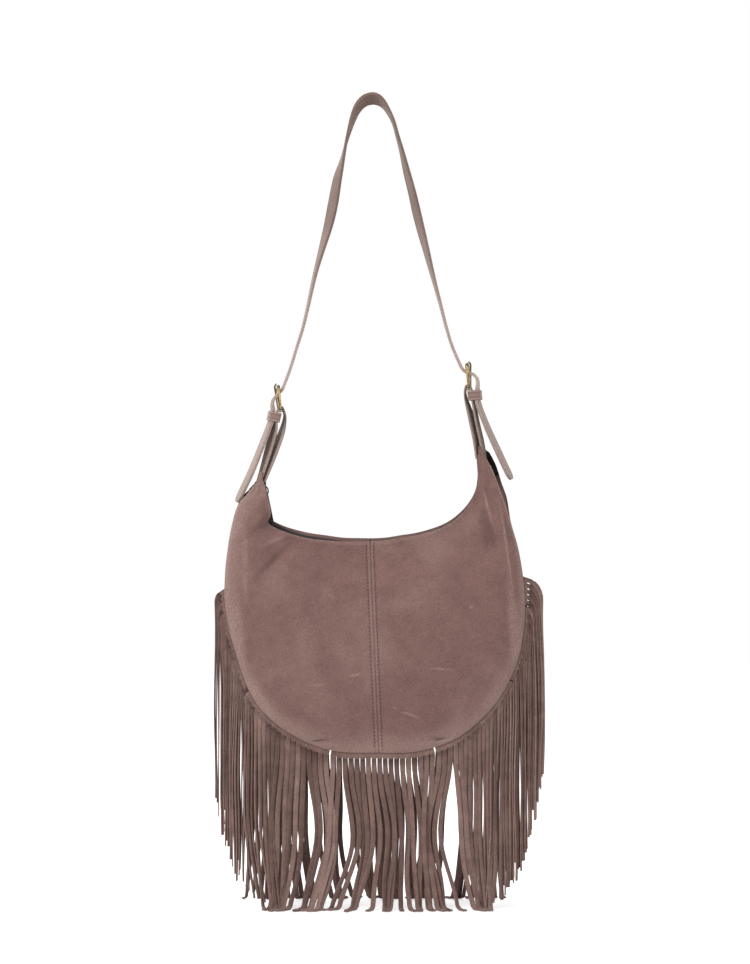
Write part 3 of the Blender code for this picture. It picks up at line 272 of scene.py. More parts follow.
@dataclass(frozen=True)
class SuedeFinish:
    """Suede with a short nap that reads lighter where it has wear and where a highlight is painted, and
    darker where shade is painted into its folds.
    """

    name: str
    nap: tuple[float, float, float]
    pale: tuple[float, float, float]
    deep: tuple[float, float, float]
    grain: float = 0.26
    mottle: float = 0.5
    patchy: float = 0.3
    sheen: float = 0.28
    scuffs_and_shading: tuple[ScuffAndShading, ...] = ()
    layered: bool = False

    def make(self) -> bpy.types.Material:
        """Lay the nodes.

        Returns:
            The material.
        """
        sheet = NodeSheet(self.name)
        grain = sheet.noise(2100.0, 2.0)
        speck = sheet.noise(900.0, 2.0, warp=0.3)
        cloud = sheet.noise(70.0, 4.0, warp=0.6)
        patch = sheet.noise(9.0, 3.0, warp=1.0)
        colour = sheet.blend(sheet.span(cloud, 0.36, 0.68, 0.0, self.mottle), self.nap, self.deep)
        colour = sheet.blend(sheet.span(patch, 0.44, 0.74, 0.0, self.patchy), colour, self.pale)
        # Paler nap where the mesh carries wear and painted highlight, broken up by fine specks.
        wear_and_highlight = sheet.sum("MULTIPLY", sheet.painted("wear_and_highlight"), sheet.span(speck, 0.25, 0.7, 0.84, 1.0))
        colour = sheet.blend(wear_and_highlight, colour, self.pale)
        # Marks on the front: abrasions of the nap, painted highlights on ridges and lit edges, and painted
        # shade in fold hollows and darts.
        if self.scuffs_and_shading:
            split = sheet.add("ShaderNodeSeparateXYZ")
            sheet.link(sheet.place, split.inputs[0])
            front = sheet.span(split.outputs["Y"], 0.002, -0.002)
            for nap_mark in self.scuffs_and_shading:
                share = sheet.sum("MULTIPLY", self.mark_share(sheet, nap_mark, speck), front)
                colour = sheet.blend(share, colour, self.pale if nap_mark.strength > 0 else self.deep)
        colour = sheet.blend(sheet.painted("shade"), colour, self.deep)
        if self.layered:
            layer = sheet.sum("ABSOLUTE", sheet.painted("layer"))
            colour = sheet.blend(sheet.span(layer, 0.08, 0.30, 0.45, 0.0), colour, self.deep)
        dots = sheet.blend(sheet.span(speck, 0.3, 0.7), (0.5 - self.grain, ) * 3, (0.5 + self.grain, ) * 3)
        colour = sheet.blend(0.55, colour, dots, "OVERLAY")
        # Painted shade, near black: the inside of the bag and the shadowed folds of the chapes.
        colour = sheet.blend(sheet.painted("inner"), colour, (0.022, 0.018, 0.017))
        sheet.link(colour, sheet.shader.inputs["Base Color"])
        relief = sheet.sum("ADD", sheet.sum("MULTIPLY", grain, 0.5), speck)
        relief = sheet.sum("ADD", relief, sheet.sum("MULTIPLY", cloud, 0.6))
        sheet.bump(relief, 0.45, 0.0004)
        sheet.gloss(Roughness=0.92, Specular_IOR_Level=0.16, Sheen_Weight=self.sheen,
                    Sheen_Roughness=0.42, Sheen_Tint=(1.0, 0.90, 0.86, 1.0))
        return sheet.material

    @staticmethod
    def mark_share(sheet: NodeSheet, nap_mark: ScuffAndShading, speck: bpy.types.NodeSocket) -> bpy.types.NodeSocket:
        """Share of pale or dark colour at one mark: an abrasion, a painted highlight or painted shade.

        Args:
            sheet: The material that is laid.
            nap_mark: The mark.
            speck: Fine noise that breaks the mark up.

        Returns:
            The share, from 0 to the mark's strength.
        """
        x, z = at_pixel(nap_mark.x, nap_mark.y)
        centred = sheet.add("ShaderNodeVectorMath", operation="SUBTRACT")
        sheet.link(sheet.place, centred.inputs[0])
        centred.inputs[1].default_value = (x, 0.0, z)
        turned = sheet.add("ShaderNodeVectorRotate", rotation_type="Y_AXIS")
        turned.inputs["Angle"].default_value = math.radians(nap_mark.lean)
        sheet.link(centred.outputs[0], turned.inputs["Vector"])
        scaled = sheet.add("ShaderNodeVectorMath", operation="MULTIPLY")
        sheet.link(turned.outputs[0], scaled.inputs[0])
        half = PHOTO_SCALE * 0.5
        scaled.inputs[1].default_value = (1.0 / (nap_mark.long * half), 0.0, 1.0 / (nap_mark.high * half))
        length = sheet.add("ShaderNodeVectorMath", operation="LENGTH")
        sheet.link(scaled.outputs[0], length.inputs[0])
        share = sheet.span(length.outputs["Value"], 1.0, 0.2, 0.0, abs(nap_mark.strength))
        return sheet.sum("MULTIPLY", share, sheet.span(speck, 0.3, 0.6, 0.35, 1.0))


@dataclass(frozen=True)
class ClothFinish:
    """Woven cloth, drawn along the piece's own map."""

    name: str
    colour: tuple[float, float, float]
    bright: tuple[float, float, float]
    threads: float = 900.0
    rough: float = 0.8

    def make(self) -> bpy.types.Material:
        """Lay the nodes.

        Returns:
            The material.
        """
        sheet = NodeSheet(self.name)
        waves = []
        for way in ("X", "Z"):
            wave = sheet.add("ShaderNodeTexWave", bands_direction=way)
            wave.inputs["Scale"].default_value = self.threads
            wave.inputs["Distortion"].default_value = 0.6
            sheet.link(sheet.place, wave.inputs["Vector"])
            waves.append(wave.outputs["Fac"])
        weave = sheet.sum("MULTIPLY", waves[0], waves[1])
        cloud = sheet.noise(40.0, 3.0)
        colour = sheet.blend(weave, self.colour, self.bright)
        colour = sheet.blend(sheet.span(cloud, 0.35, 0.7, 0.0, 0.4), colour, self.bright)
        sheet.link(colour, sheet.shader.inputs["Base Color"])
        sheet.bump(weave, 0.3, 0.0003)
        sheet.gloss(Roughness=self.rough, Sheen_Weight=0.3, Sheen_Tint=(0.7, 0.8, 0.95, 1.0))
        return sheet.material


@dataclass(frozen=True)
class MetalFinish:
    """Plated metal with patches of dark tarnish, darker where its mesh is painted dark, and fine scratches.
    """

    name: str
    colour: tuple[float, float, float]
    tarnish: tuple[float, float, float]
    tarnish_share: float
    rough: float
    metallic: float = 1.0

    def make(self) -> bpy.types.Material:
        """Lay the nodes.

        Returns:
            The material.
        """
        sheet = NodeSheet(self.name)
        cloud = sheet.noise(300.0, 4.0, warp=0.5)
        scratch = sheet.noise(2200.0, 2.0, stretch=(1.0, 1.0, 0.12))
        dark = sheet.span(cloud, 0.42, 0.62, 0.0, self.tarnish_share)
        dark = sheet.sum("MAXIMUM", dark, sheet.painted("shade"))
        sheet.link(sheet.blend(dark, self.colour, self.tarnish), sheet.shader.inputs["Base Color"])
        rough = sheet.span(scratch, 0.3, 0.7, self.rough - 0.07, self.rough + 0.12)
        sheet.link(rough, sheet.shader.inputs["Roughness"])
        sheet.bump(scratch, 0.15, 0.0001)
        sheet.gloss(Metallic=self.metallic, Specular_IOR_Level=0.3)
        return sheet.material


@dataclass(frozen=True)
class NylonFinish:
    """Thread or zip coil, slightly glossy and twisted along its length."""

    name: str
    colour: tuple[float, float, float]
    rough: float = 0.55

    def make(self) -> bpy.types.Material:
        """Lay the nodes.

        Returns:
            The material.
        """
        sheet = NodeSheet(self.name)
        twist = sheet.noise(2600.0, 1.0, stretch=(1.0, 1.0, 1.6))
        cloud = sheet.noise(120.0, 2.0)
        pale = tuple(min(c * 1.7 + 0.01, 1.0) for c in self.colour)
        colour = sheet.blend(sheet.span(twist, 0.4, 0.65), self.colour, pale)
        colour = sheet.blend(sheet.span(cloud, 0.4, 0.7, 0.0, 0.4), colour, self.colour)
        sheet.link(colour, sheet.shader.inputs["Base Color"])
        sheet.bump(twist, 0.3, 0.0002)
        sheet.gloss(Roughness=self.rough)
        return sheet.material


class Finishes:
    """Every finish of the bag, each made once."""

    def __init__(self) -> None:
        """Make the materials."""
        # Abrasions of the nap, painted highlights on fold ridges and on the lit left and right edges, and
        # painted shade in fold hollows and in the two darts at the bottom.
        marks = (ScuffAndShading(355, 672, 16, 5, 8, 0.5), ScuffAndShading(395, 705, 9, 3, -35, 0.45),
                 ScuffAndShading(440, 666, 34, 3, -4, 0.5), ScuffAndShading(409, 711, 28, 4, -18, 0.45),
                 ScuffAndShading(470, 605, 10, 4, 30, 0.4), ScuffAndShading(318, 682, 26, 4, 6, 0.35),
                 ScuffAndShading(488.5, 530, 50, 13, -72, -0.5), ScuffAndShading(486.5, 506, 50, 3.4, -76, 0.55),
                 ScuffAndShading(504.5, 543, 110, 4, -82, 0.45), ScuffAndShading(247, 566, 90, 9, -89, 0.3),
                 ScuffAndShading(276, 557, 46, 10, 45, -0.45), ScuffAndShading(275, 540, 34, 6, 22, 0.3),
                 ScuffAndShading(238, 625, 130, 22, -84, 0.5), ScuffAndShading(264, 700, 100, 14, -56, 0.35),
                 ScuffAndShading(319, 737.5, 22, 2.6, 8, -0.85), ScuffAndShading(439, 736.5, 18, 2.6, 18, -0.75),
                 ScuffAndShading(325, 570, 90, 26, 30, -0.18), ScuffAndShading(455, 585, 110, 40, -60, -0.15),
                 ScuffAndShading(513, 630, 130, 18, -86, 0.45), ScuffAndShading(497, 700, 80, 12, 62, 0.3))
        self.body = SuedeFinish("suede_taupe", (0.192, 0.109, 0.098), (0.350, 0.240, 0.212),
                                (0.090, 0.046, 0.039), grain=0.19, mottle=0.20, patchy=0.24,
                                scuffs_and_shading=marks).make()
        self.strap = SuedeFinish("suede_strap", (0.200, 0.136, 0.117), (0.500, 0.405, 0.360),
                                 (0.095, 0.058, 0.048), grain=0.14, mottle=0.2, patchy=0.1,
                                 sheen=0.2, layered=True).make()
        self.keeper = SuedeFinish("suede_keeper", (0.240, 0.160, 0.135), (0.42, 0.32, 0.275),
                                  (0.09, 0.050, 0.040), grain=0.14, mottle=0.2).make()
        self.fringe = SuedeFinish("suede_fringe", (0.228, 0.139, 0.121), (0.380, 0.262, 0.230),
                                  (0.040, 0.019, 0.016), grain=0.18, mottle=0.35, sheen=0.18).make()
        self.lining = ClothFinish("lining_black", (0.012, 0.012, 0.014), (0.034, 0.040, 0.050)).make()
        self.tape = ClothFinish("zip_tape_black", (0.014, 0.013, 0.013), (0.04, 0.037, 0.037),
                                threads=1400.0, rough=0.7).make()
        self.coil = NylonFinish("zip_coil_black", (0.022, 0.021, 0.022), 0.4).make()
        self.thread = NylonFinish("thread_brown", (0.040, 0.022, 0.019), 0.7).make()
        self.rim_thread = NylonFinish("thread_rim", (0.125, 0.070, 0.061), 0.8).make()
        self.strap_thread = NylonFinish("thread_strap", (0.135, 0.082, 0.066), 0.6).make()
        self.metal = MetalFinish("dark_metal", (0.030, 0.027, 0.024), (0.012, 0.011, 0.010), 0.7,
                                 0.34, 0.2).make()
        self.brass = MetalFinish("antique_brass", (0.52, 0.37, 0.17), (0.085, 0.055, 0.035), 0.5,
                                 0.27).make()


# Ways of making pieces


def deselect() -> None:
    """Leave nothing selected, so that an operator acts on the new piece alone."""
    bpy.ops.object.select_all(action="DESELECT")


def only(piece: bpy.types.Object) -> None:
    """Select one piece and make it active."""
    deselect()
    piece.select_set(True)
    bpy.context.view_layer.objects.active = piece


def dress(piece: bpy.types.Object, material: bpy.types.Material, slot: Slot, body: str = BODY,
          replaces: Sequence[str] = (), angle: float = 40.0) -> bpy.types.Object:
    """Finish a piece: smooth it, give it its material and let it ride.

    Args:
        piece: The new piece, in place.
        material: Its finish.
        slot: The record's slot that the finish belongs to; not used.
        body: The CAD body that it moves with.
        replaces: The CAD nodes that it stands for.
        angle: Edges sharper than this stay sharp.

    Returns:
        The piece.
    """
    only(piece)
    bpy.ops.object.shade_smooth_by_angle(angle=math.radians(angle))
    piece.data.materials.clear()
    piece.data.materials.append(material)
    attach(piece, body)
    if replaces:
        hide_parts(*replaces)
    LOG.info("%s: %d faces", piece.name, len(piece.data.polygons))
    return piece


def apply_modifier(piece: bpy.types.Object, kind: str, **settings: object) -> None:
    """Add a modifier to a piece and apply it."""
    only(piece)
    change = piece.modifiers.new(kind.lower(), kind)
    for key, value in settings.items():
        setattr(change, key, value)
    bpy.ops.object.modifier_apply(modifier=change.name)


def paint(piece: bpy.types.Object, name: str, values: Sequence[float]) -> None:
    """Store a value at each point of a piece."""
    layer = piece.data.attributes.new(name, "FLOAT", "POINT")
    layer.data.foreach_set("value", np.asarray(values, np.float32))


def from_faces(name: str, points: Sequence[Array], faces: Sequence[Sequence[int]]) -> bpy.types.Object:
    """Object from its points and faces, with every face turned outwards."""
    mesh = bpy.data.meshes.new(name)
    mesh.from_pydata([tuple(map(float, p)) for p in points], [], [tuple(f) for f in faces])
    made = bpy.data.objects.new(name, mesh)
    bpy.context.scene.collection.objects.link(made)
    only(made)
    bpy.ops.object.mode_set(mode="EDIT")
    bpy.ops.mesh.select_all(action="SELECT")
    bpy.ops.mesh.normals_make_consistent(inside=False)
    bpy.ops.object.mode_set(mode="OBJECT")
    return made


def cut_sheet(name: str, across: Sequence[float], down: Sequence[float],
              place: Callable[[float, float], Array], thickness: float,
              marks: Callable[[float, float], tuple[float, float, float]] | None = None,
              centre: Array | None = None) -> bpy.types.Object:
    """Grid of leather or cloth, laid on a surface and given its thickness.

    Args:
        name: Name of the piece.
        across: Values of the first way along the surface.
        down: Values of the second way.
        place: Point of the inner face for two such values.
        thickness: Thickness, outward.
        marks: Share of paler nap, from wear and painted highlight, and share of painted shade for two such
            values, and how black the inner face is painted as shade inside the bag.
        centre: A point that the outer face looks away from.

    Returns:
        The piece.
    """
    deselect()
    bpy.ops.mesh.primitive_grid_add(x_subdivisions=len(across) - 1, y_subdivisions=len(down) - 1,
                                    size=1.0, calc_uvs=True)
    piece = bpy.context.active_object
    piece.name = piece.data.name = name
    count = len(piece.data.vertices)
    start = np.zeros(count * 3)
    piece.data.vertices.foreach_get("co", start)
    start = start.reshape(-1, 3) + 0.5
    first = np.interp(start[:, 0], np.linspace(0, 1, len(across)), across)
    second = np.interp(start[:, 1], np.linspace(0, 1, len(down)), down)
    points = np.array([place(a, b) for a, b in zip(first, second)])
    piece.data.vertices.foreach_set("co", points.ravel())
    piece.data.update()
    wear_and_highlight, shade, black = np.zeros((3, count))
    if marks:
        wear_and_highlight, shade, black = np.array([marks(a, b) for a, b in zip(first, second)]).T
    paint(piece, "wear_and_highlight", wear_and_highlight)
    paint(piece, "shade", shade)
    middle = vec(0.0, 0.0, -0.62) if centre is None else centre
    look = sum(float(np.dot(np.array(f.normal), np.array(f.center) - middle)) * f.area
               for f in piece.data.polygons)
    if look < 0:
        piece.data.flip_normals()
    apply_modifier(piece, "SOLIDIFY", thickness=thickness, offset=1.0)
    # The inner face is painted near black where marks ask for it, as painted shade inside the bag.
    paint(piece, "inner", np.concatenate([np.zeros(len(piece.data.vertices) - count), black]))
    return piece


def frames_along(path: Array, wide: Array) -> tuple[Array, Array, Array]:
    """Way, width and face of a strip at each point of its path.

    Args:
        path: Points of the middle line.
        wide: Rough way of the width at each point.

    Returns:
        Three arrays of unit vectors.
    """
    way = np.gradient(path, axis=0)
    way /= np.linalg.norm(way, axis=1)[:, None]
    wide = wide - way * np.sum(wide * way, axis=1)[:, None]
    wide /= np.linalg.norm(wide, axis=1)[:, None]
    return way, wide, np.cross(way, wide)


def strip(name: str, path: Array, wide: Array, width: float, thickness: float,
          slots: Sequence[tuple[int, int]] = (), slot_width: float = 0.002,
          ends: float = 1.0, crown: float = 0.0, tone: Sequence[float] = (),
          black: Callable[[int, float, float], float] | None = None) -> bpy.types.Object:
    """Closed strap along a path, with rounded edges and through slots.

    Args:
        name: Name of the piece.
        path: Points of the middle line.
        wide: Way of the width at each point.
        width: Full width.
        thickness: Full thickness.
        slots: First and last path points of each slot.
        slot_width: Width of the slots.
        ends: Share of the width at both ends, which are rounded over 6 mm.
        crown: How far the middle stands proud of the edges.
        tone: Share of paler nap at each point of the path.
        black: How black a face is painted as painted shadow, by the path point's number, the side and the
            share across.

    Returns:
        The piece.
    """
    way, wide, face = frames_along(path, wide)
    half, slit = 0.5 * width, 0.5 * slot_width
    columns = [-half, -half * 0.93, -half * 0.82, -0.5 * half, -slit, slit, 0.5 * half, half * 0.82,
               half * 0.93, half]
    run = np.concatenate([[0.0], np.cumsum(np.linalg.norm(np.diff(path, axis=0), axis=1))])
    size = len(columns)
    points, layers, wear_and_highlight, inner = [], [], [], []
    for side in (-1.0, 1.0):
        for k, centre in enumerate(path):
            left = min(run[k], run[-1] - run[k])
            narrow = 1.0
            if ends < 1.0 and left < half:
                narrow = ends + (1.0 - ends) * math.sqrt(max(1.0 - (1.0 - left / half) ** 2, 0.0))
            for c in columns:
                rise = crown * (1.0 - (c / half) ** 2) - 0.3 * crown * math.exp(
                    -((abs(c) - 0.82 * half) / 0.001) ** 2)
                points.append(centre + wide[k] * c * narrow + face[k] * side * (0.5 * thickness + rise))
                layers.append(side)
                wear_and_highlight.append(tone[k] if len(tone) else 0.0)
                inner.append(black(k, side, c / half) if black else 0.0)
    count = len(path)

    def at(side: int, k: int, c: int) -> int:
        return (side * count + k) * size + c

    faces = []
    for k in range(count - 1):
        cut = any(a <= k < b for a, b in slots)
        for c in range(size - 1):
            if cut and c == size // 2 - 1:
                for edge in (c, c + 1):
                    faces.append((at(0, k, edge), at(0, k + 1, edge), at(1, k + 1, edge), at(1, k, edge)))
                continue
            for side in (0, 1):
                faces.append((at(side, k, c), at(side, k + 1, c), at(side, k + 1, c + 1), at(side, k, c + 1)))
        for edge in (0, size - 1):
            faces.append((at(0, k, edge), at(0, k + 1, edge), at(1, k + 1, edge), at(1, k, edge)))
    middle = size // 2 - 1
    for k in [j for s in slots for j in s]:
        faces.append((at(0, k, middle), at(0, k, middle + 1), at(1, k, middle + 1), at(1, k, middle)))
    for k in (0, count - 1):
        for c in range(size - 1):
            faces.append((at(0, k, c), at(0, k, c + 1), at(1, k, c + 1), at(1, k, c)))
    piece = from_faces(name, points, faces)
    paint(piece, "layer", layers)
    paint(piece, "wear_and_highlight", wear_and_highlight)
    paint(piece, "inner", inner)
    apply_modifier(piece, "BEVEL", width=min(0.0005, 0.3 * thickness), segments=2,
                   limit_method="ANGLE", angle_limit=math.radians(50.0))
    return piece


def stitch_shape() -> tuple[Array, list[tuple[int, ...]]]:
    """One stitch, a short rounded bar along x, one unit long and high.

    Returns:
        Its points and faces.
    """
    deselect()
    bpy.ops.mesh.primitive_uv_sphere_add(segments=6, ring_count=5, radius=0.5)
    model = bpy.context.active_object
    points = np.array([v.co for v in model.data.vertices], float)[:, [2, 1, 0]]
    faces = [tuple(p.vertices)[::-1] for p in model.data.polygons]
    bpy.data.meshes.remove(model.data)
    return points, faces


def stitch_row(name: str, points: Array, away: Array, pitch: float, long: float, thick: float,
               material: bpy.types.Material, slot: Slot, sink: float = 0.25,
               clear: Callable[[Array], bool] = lambda place: True) -> bpy.types.Object:
    """Row of sewn stitches that follows a line on a surface.

    Args:
        name: Name of the piece.
        points: Points of the line, on the surface.
        away: Way out of the surface at each point.
        pitch: Distance between stitches.
        long: Length of each.
        thick: Thickness of the thread.
        material: Finish of the thread.
        slot: The record's slot.
        sink: Share of the thread's thickness that is sunk in.
        clear: Whether a place has room for a stitch.

    Returns:
        The piece.
    """
    shape, shape_faces = stitch_shape()
    run = np.concatenate([[0.0], np.cumsum(np.linalg.norm(np.diff(points, axis=0), axis=1))])
    spots, all_faces = [], []
    for n in range(int(run[-1] / pitch)):
        s = (n + 0.5) * pitch
        here, back, front = (vec(*[np.interp(s + d, run, points[:, k]) for k in range(3)])
                             for d in (0.0, -0.5 * long, 0.5 * long))
        if not clear(here):
            continue
        out = unit(vec(*[np.interp(s, run, away[:, k]) for k in range(3)]))
        along = unit(front - back)
        out = unit(out - along * np.dot(out, along))
        cross = np.cross(out, along)
        centre = here + out * thick * (0.5 - sink)
        base = len(spots)
        for p in shape:
            bow = 1.0 - 1.4 * p[0] ** 2
            spots.append(centre + along * p[0] * long + cross * p[1] * thick
                         + out * (p[2] + 0.35 * (bow - 1.0)) * thick)
        all_faces.extend(tuple(base + i for i in f) for f in shape_faces)
    piece = from_faces(name, spots, all_faces)
    return dress(piece, material, slot)


# The body of the bag


@dataclass
class BagOutline:
    """Surfaces of the bag, given by stations from the left peak round the bottom to the right."""

    lift: float = -0.766
    shift: float = 0.0035
    peak_half: float = 0.0123
    mouth_half: float = 0.010
    seam_half: float = 0.032
    bulge: float = 0.026
    suede: float = 0.0014
    tip: float = 0.0095
    stations: Sequence[tuple[float, float, float, float]] = (
        (-129.8, 317.4, -135.7, 317.4), (-127.4, 304.4, -146.9, 303.8),
        (-123.9, 290.3, -158.7, 290.3), (-122.1, 277.3, -165.2, 269.0),
        (-124.5, 266.7, -169.9, 240.7), (-110.3, 258.4, -173.5, 206.5),
        (-92.6, 252.5, -172.9, 166.4), (-73.8, 248.4, -162.2, 119.2),
        (-56.0, 246.6, -139.8, 61.4), (-39.5, 245.4, -102.1, 25.0), (-23.0, 245.4, -51.3, 2.9),
        (-5.3, 245.4, 5.3, 0.0), (12.4, 246.6, 53.7, 2.2), (30.1, 249.6, 100.9, 20.0),
        (49.0, 252.5, 141.0, 58.0), (66.7, 257.2, 164.6, 102.7), (82.0, 263.1, 173.5, 145.1),
        (96.2, 272.0, 174.0, 187.6), (109.1, 285.6, 168.1, 231.3), (118.6, 302.1, 158.7, 266.7),
        (122.1, 318.6, 148.1, 300.9), (121.5, 335.1, 136.3, 332.8), (120.4, 352.8, 126.3, 353.4))
    seam_share: Sequence[tuple[float, float]] = (
        (0, 0.0), (1, 0.03), (2, 0.16), (3, 0.5), (4, 0.86), (5, 1.0), (18.0, 1.0), (19.0, 0.8),
        (20, 0.4), (21, 0.06), (22, 0.0))
    bulge_share: Sequence[tuple[float, float]] = (
        (0, 0.0), (1.2, 0.0), (2.5, 0.1), (4, 0.35), (6, 0.7), (8.5, 1.0), (13.5, 1.0), (16, 0.7),
        (18, 0.35), (19.5, 0.1), (20.8, 0.0), (22, 0.0))
    mouth_share: Sequence[tuple[float, float]] = (
        (0, 0.0), (2.4, 0.0), (4, 1.0), (17.4, 1.0), (19.2, 0.0), (22, 0.0))
    back_lift: Sequence[tuple[float, float]] = (
        (0, 0.0), (2.5, 0.5), (4.5, 6.0), (7, 6.0), (10, 3.5), (13, 2.5), (17, 2.5), (19, 1.0),
        (22, 0.0))
    sag: Sequence[tuple[float, float]] = (
        (0, -11.0), (3.4, -9.0), (5.4, 0.0), (16.8, 0.0), (18.6, -9.0), (22, -11.0))
    back_flare: Sequence[tuple[float, float]] = (
        (0, 1.2), (0.7, 3.0), (1.4, 2.6), (3, 0.0), (17.6, 0.0), (18.8, 2.6), (20, 6.6), (21, 8.0),
        (21.6, 7.0), (22, 4.5))
    front_folds: Sequence[tuple[float, float, float, float, float]] = (
        (5.6, 0.13, 0.9, 0.12, -5.0), (4.6, 0.45, 0.5, 0.25, 2.5), (17.6, 0.42, 0.7, 0.16, -5.0),
        (18.7, 0.30, 0.45, 0.28, 3.0), (16.2, 0.10, 0.9, 0.10, -2.5))
    back_folds: Sequence[tuple[float, float, float, float, float]] = (
        (6.0, 0.18, 0.9, 0.14, -3.5), (17.0, 0.25, 0.8, 0.18, -3.5))
    table: Array = field(init=False)

    def __post_init__(self) -> None:
        """Turn the stations into metres in the frame of the part."""
        table = np.array(self.stations) * MM
        table[:, [0, 2]] += self.shift
        table[:, [1, 3]] += self.lift
        self.table = table

    def rim(self, at: float) -> Array:
        """Rim in x and z at a station."""
        return flowing(self.table, at)[0:2]

    def seam(self, at: float) -> Array:
        """Outer seam in x and z at a station."""
        return flowing(self.table, at)[2:4]

    def away(self, at: float) -> Array:
        """Way out of the outer seam in x and z."""
        step = unit(self.seam(at + 0.02) - self.seam(at - 0.02))
        return vec(step[1], -step[0])

    def flare(self, at: float, across: float) -> Array:
        """How far the outer seam stands out in x and z, from the front (-1) to the back (1)."""
        return self.away(at) * ease(self.back_flare, at) * MM * 0.5 * (1.0 + across)

    def half_depth(self, at: float) -> float:
        """Half the depth of the bag at the outer seam."""
        return self.peak_half + (self.seam_half - self.peak_half) * ease(self.seam_share, at)

    def inner(self, at: float, share: float, side: int) -> Array:
        """Point of the inner face of the front (-1) or the back (1).

        Args:
            at: Station.
            share: Share of the way from the rim to the seam.
            side: -1 for the front or 1 for the back.

        Returns:
            The point.
        """
        rim, seam = self.rim(at), self.seam(at) + self.flare(at, side)
        across = rim + (seam - rim) * share
        if side < 0:
            across[1] += self.tip * (ramp(0.8, 0.0, at) + 0.4 * ramp(21.4, 22.0, at))
            across[0] += 0.5 * (rim[0] - seam[0]) * (2.0 * share - 1.0) * 0.9 * (
                ramp(0.7, 0.0, at) + ramp(21.5, 22.0, at))
        lift = ease(self.back_lift, at) * MM if side > 0 else 0.0
        depth = self.peak_half + (self.mouth_half - self.peak_half) * ease(self.mouth_share, at)
        depth += (self.half_depth(at) - depth) * ramp(0.04, 1.0, share)
        swell = max(math.sin(math.pi * min(share, 1.0) ** 0.9), 0.0) ** 0.8
        depth += self.bulge * ease(self.bulge_share, at) * swell * ramp(0.02, 0.22, share)
        for middle, down, wide, tall, deep in (self.front_folds if side < 0 else self.back_folds):
            far = ((at - middle) / wide) ** 2 + ((share - down) / tall) ** 2
            depth += (deep * MM * math.exp(-far) * ramp(0.13, 0.27, share)
                      * ramp(0.0, 0.12, 1.0 - share))
        return vec(across[0], side * depth, across[1] + lift * (1.0 - share) ** 2)

    def point(self, at: float, share: float, side: int, rise: float) -> Array:
        """Point at a height over the panel's inner face, with the way out of it appended."""
        here = self.inner(at, share, side)
        along = self.inner(min(at + 0.03, 22.0), share, side) - self.inner(max(at - 0.03, 0.0), share, side)
        down = self.inner(at, min(share + 0.006, 1.0), side) - self.inner(at, max(share - 0.006, 0.0), side)
        out = unit(np.cross(along, down))
        out = out if out[1] * side > 0 else -out
        return np.concatenate([here + out * rise, out])


@dataclass
class Crease:
    """Soft line fold drawn from one pixel to another of the photograph's front."""

    start: tuple[float, float]
    end: tuple[float, float]
    reach: float
    deep: float

    def height(self, x: float, z: float) -> float:
        """Height of the fold over a place of the front, in metres."""
        a, b = vec(*at_pixel(*self.start)), vec(*at_pixel(*self.end))
        line = b - a
        t = float(np.dot(vec(x, z) - a, line) / np.dot(line, line))
        near = a + line * min(max(t, 0.0), 1.0)
        off = math.hypot(x - near[0], z - near[1]) / (self.reach * PHOTO_SCALE)
        return self.deep * MM * math.exp(-off * off)


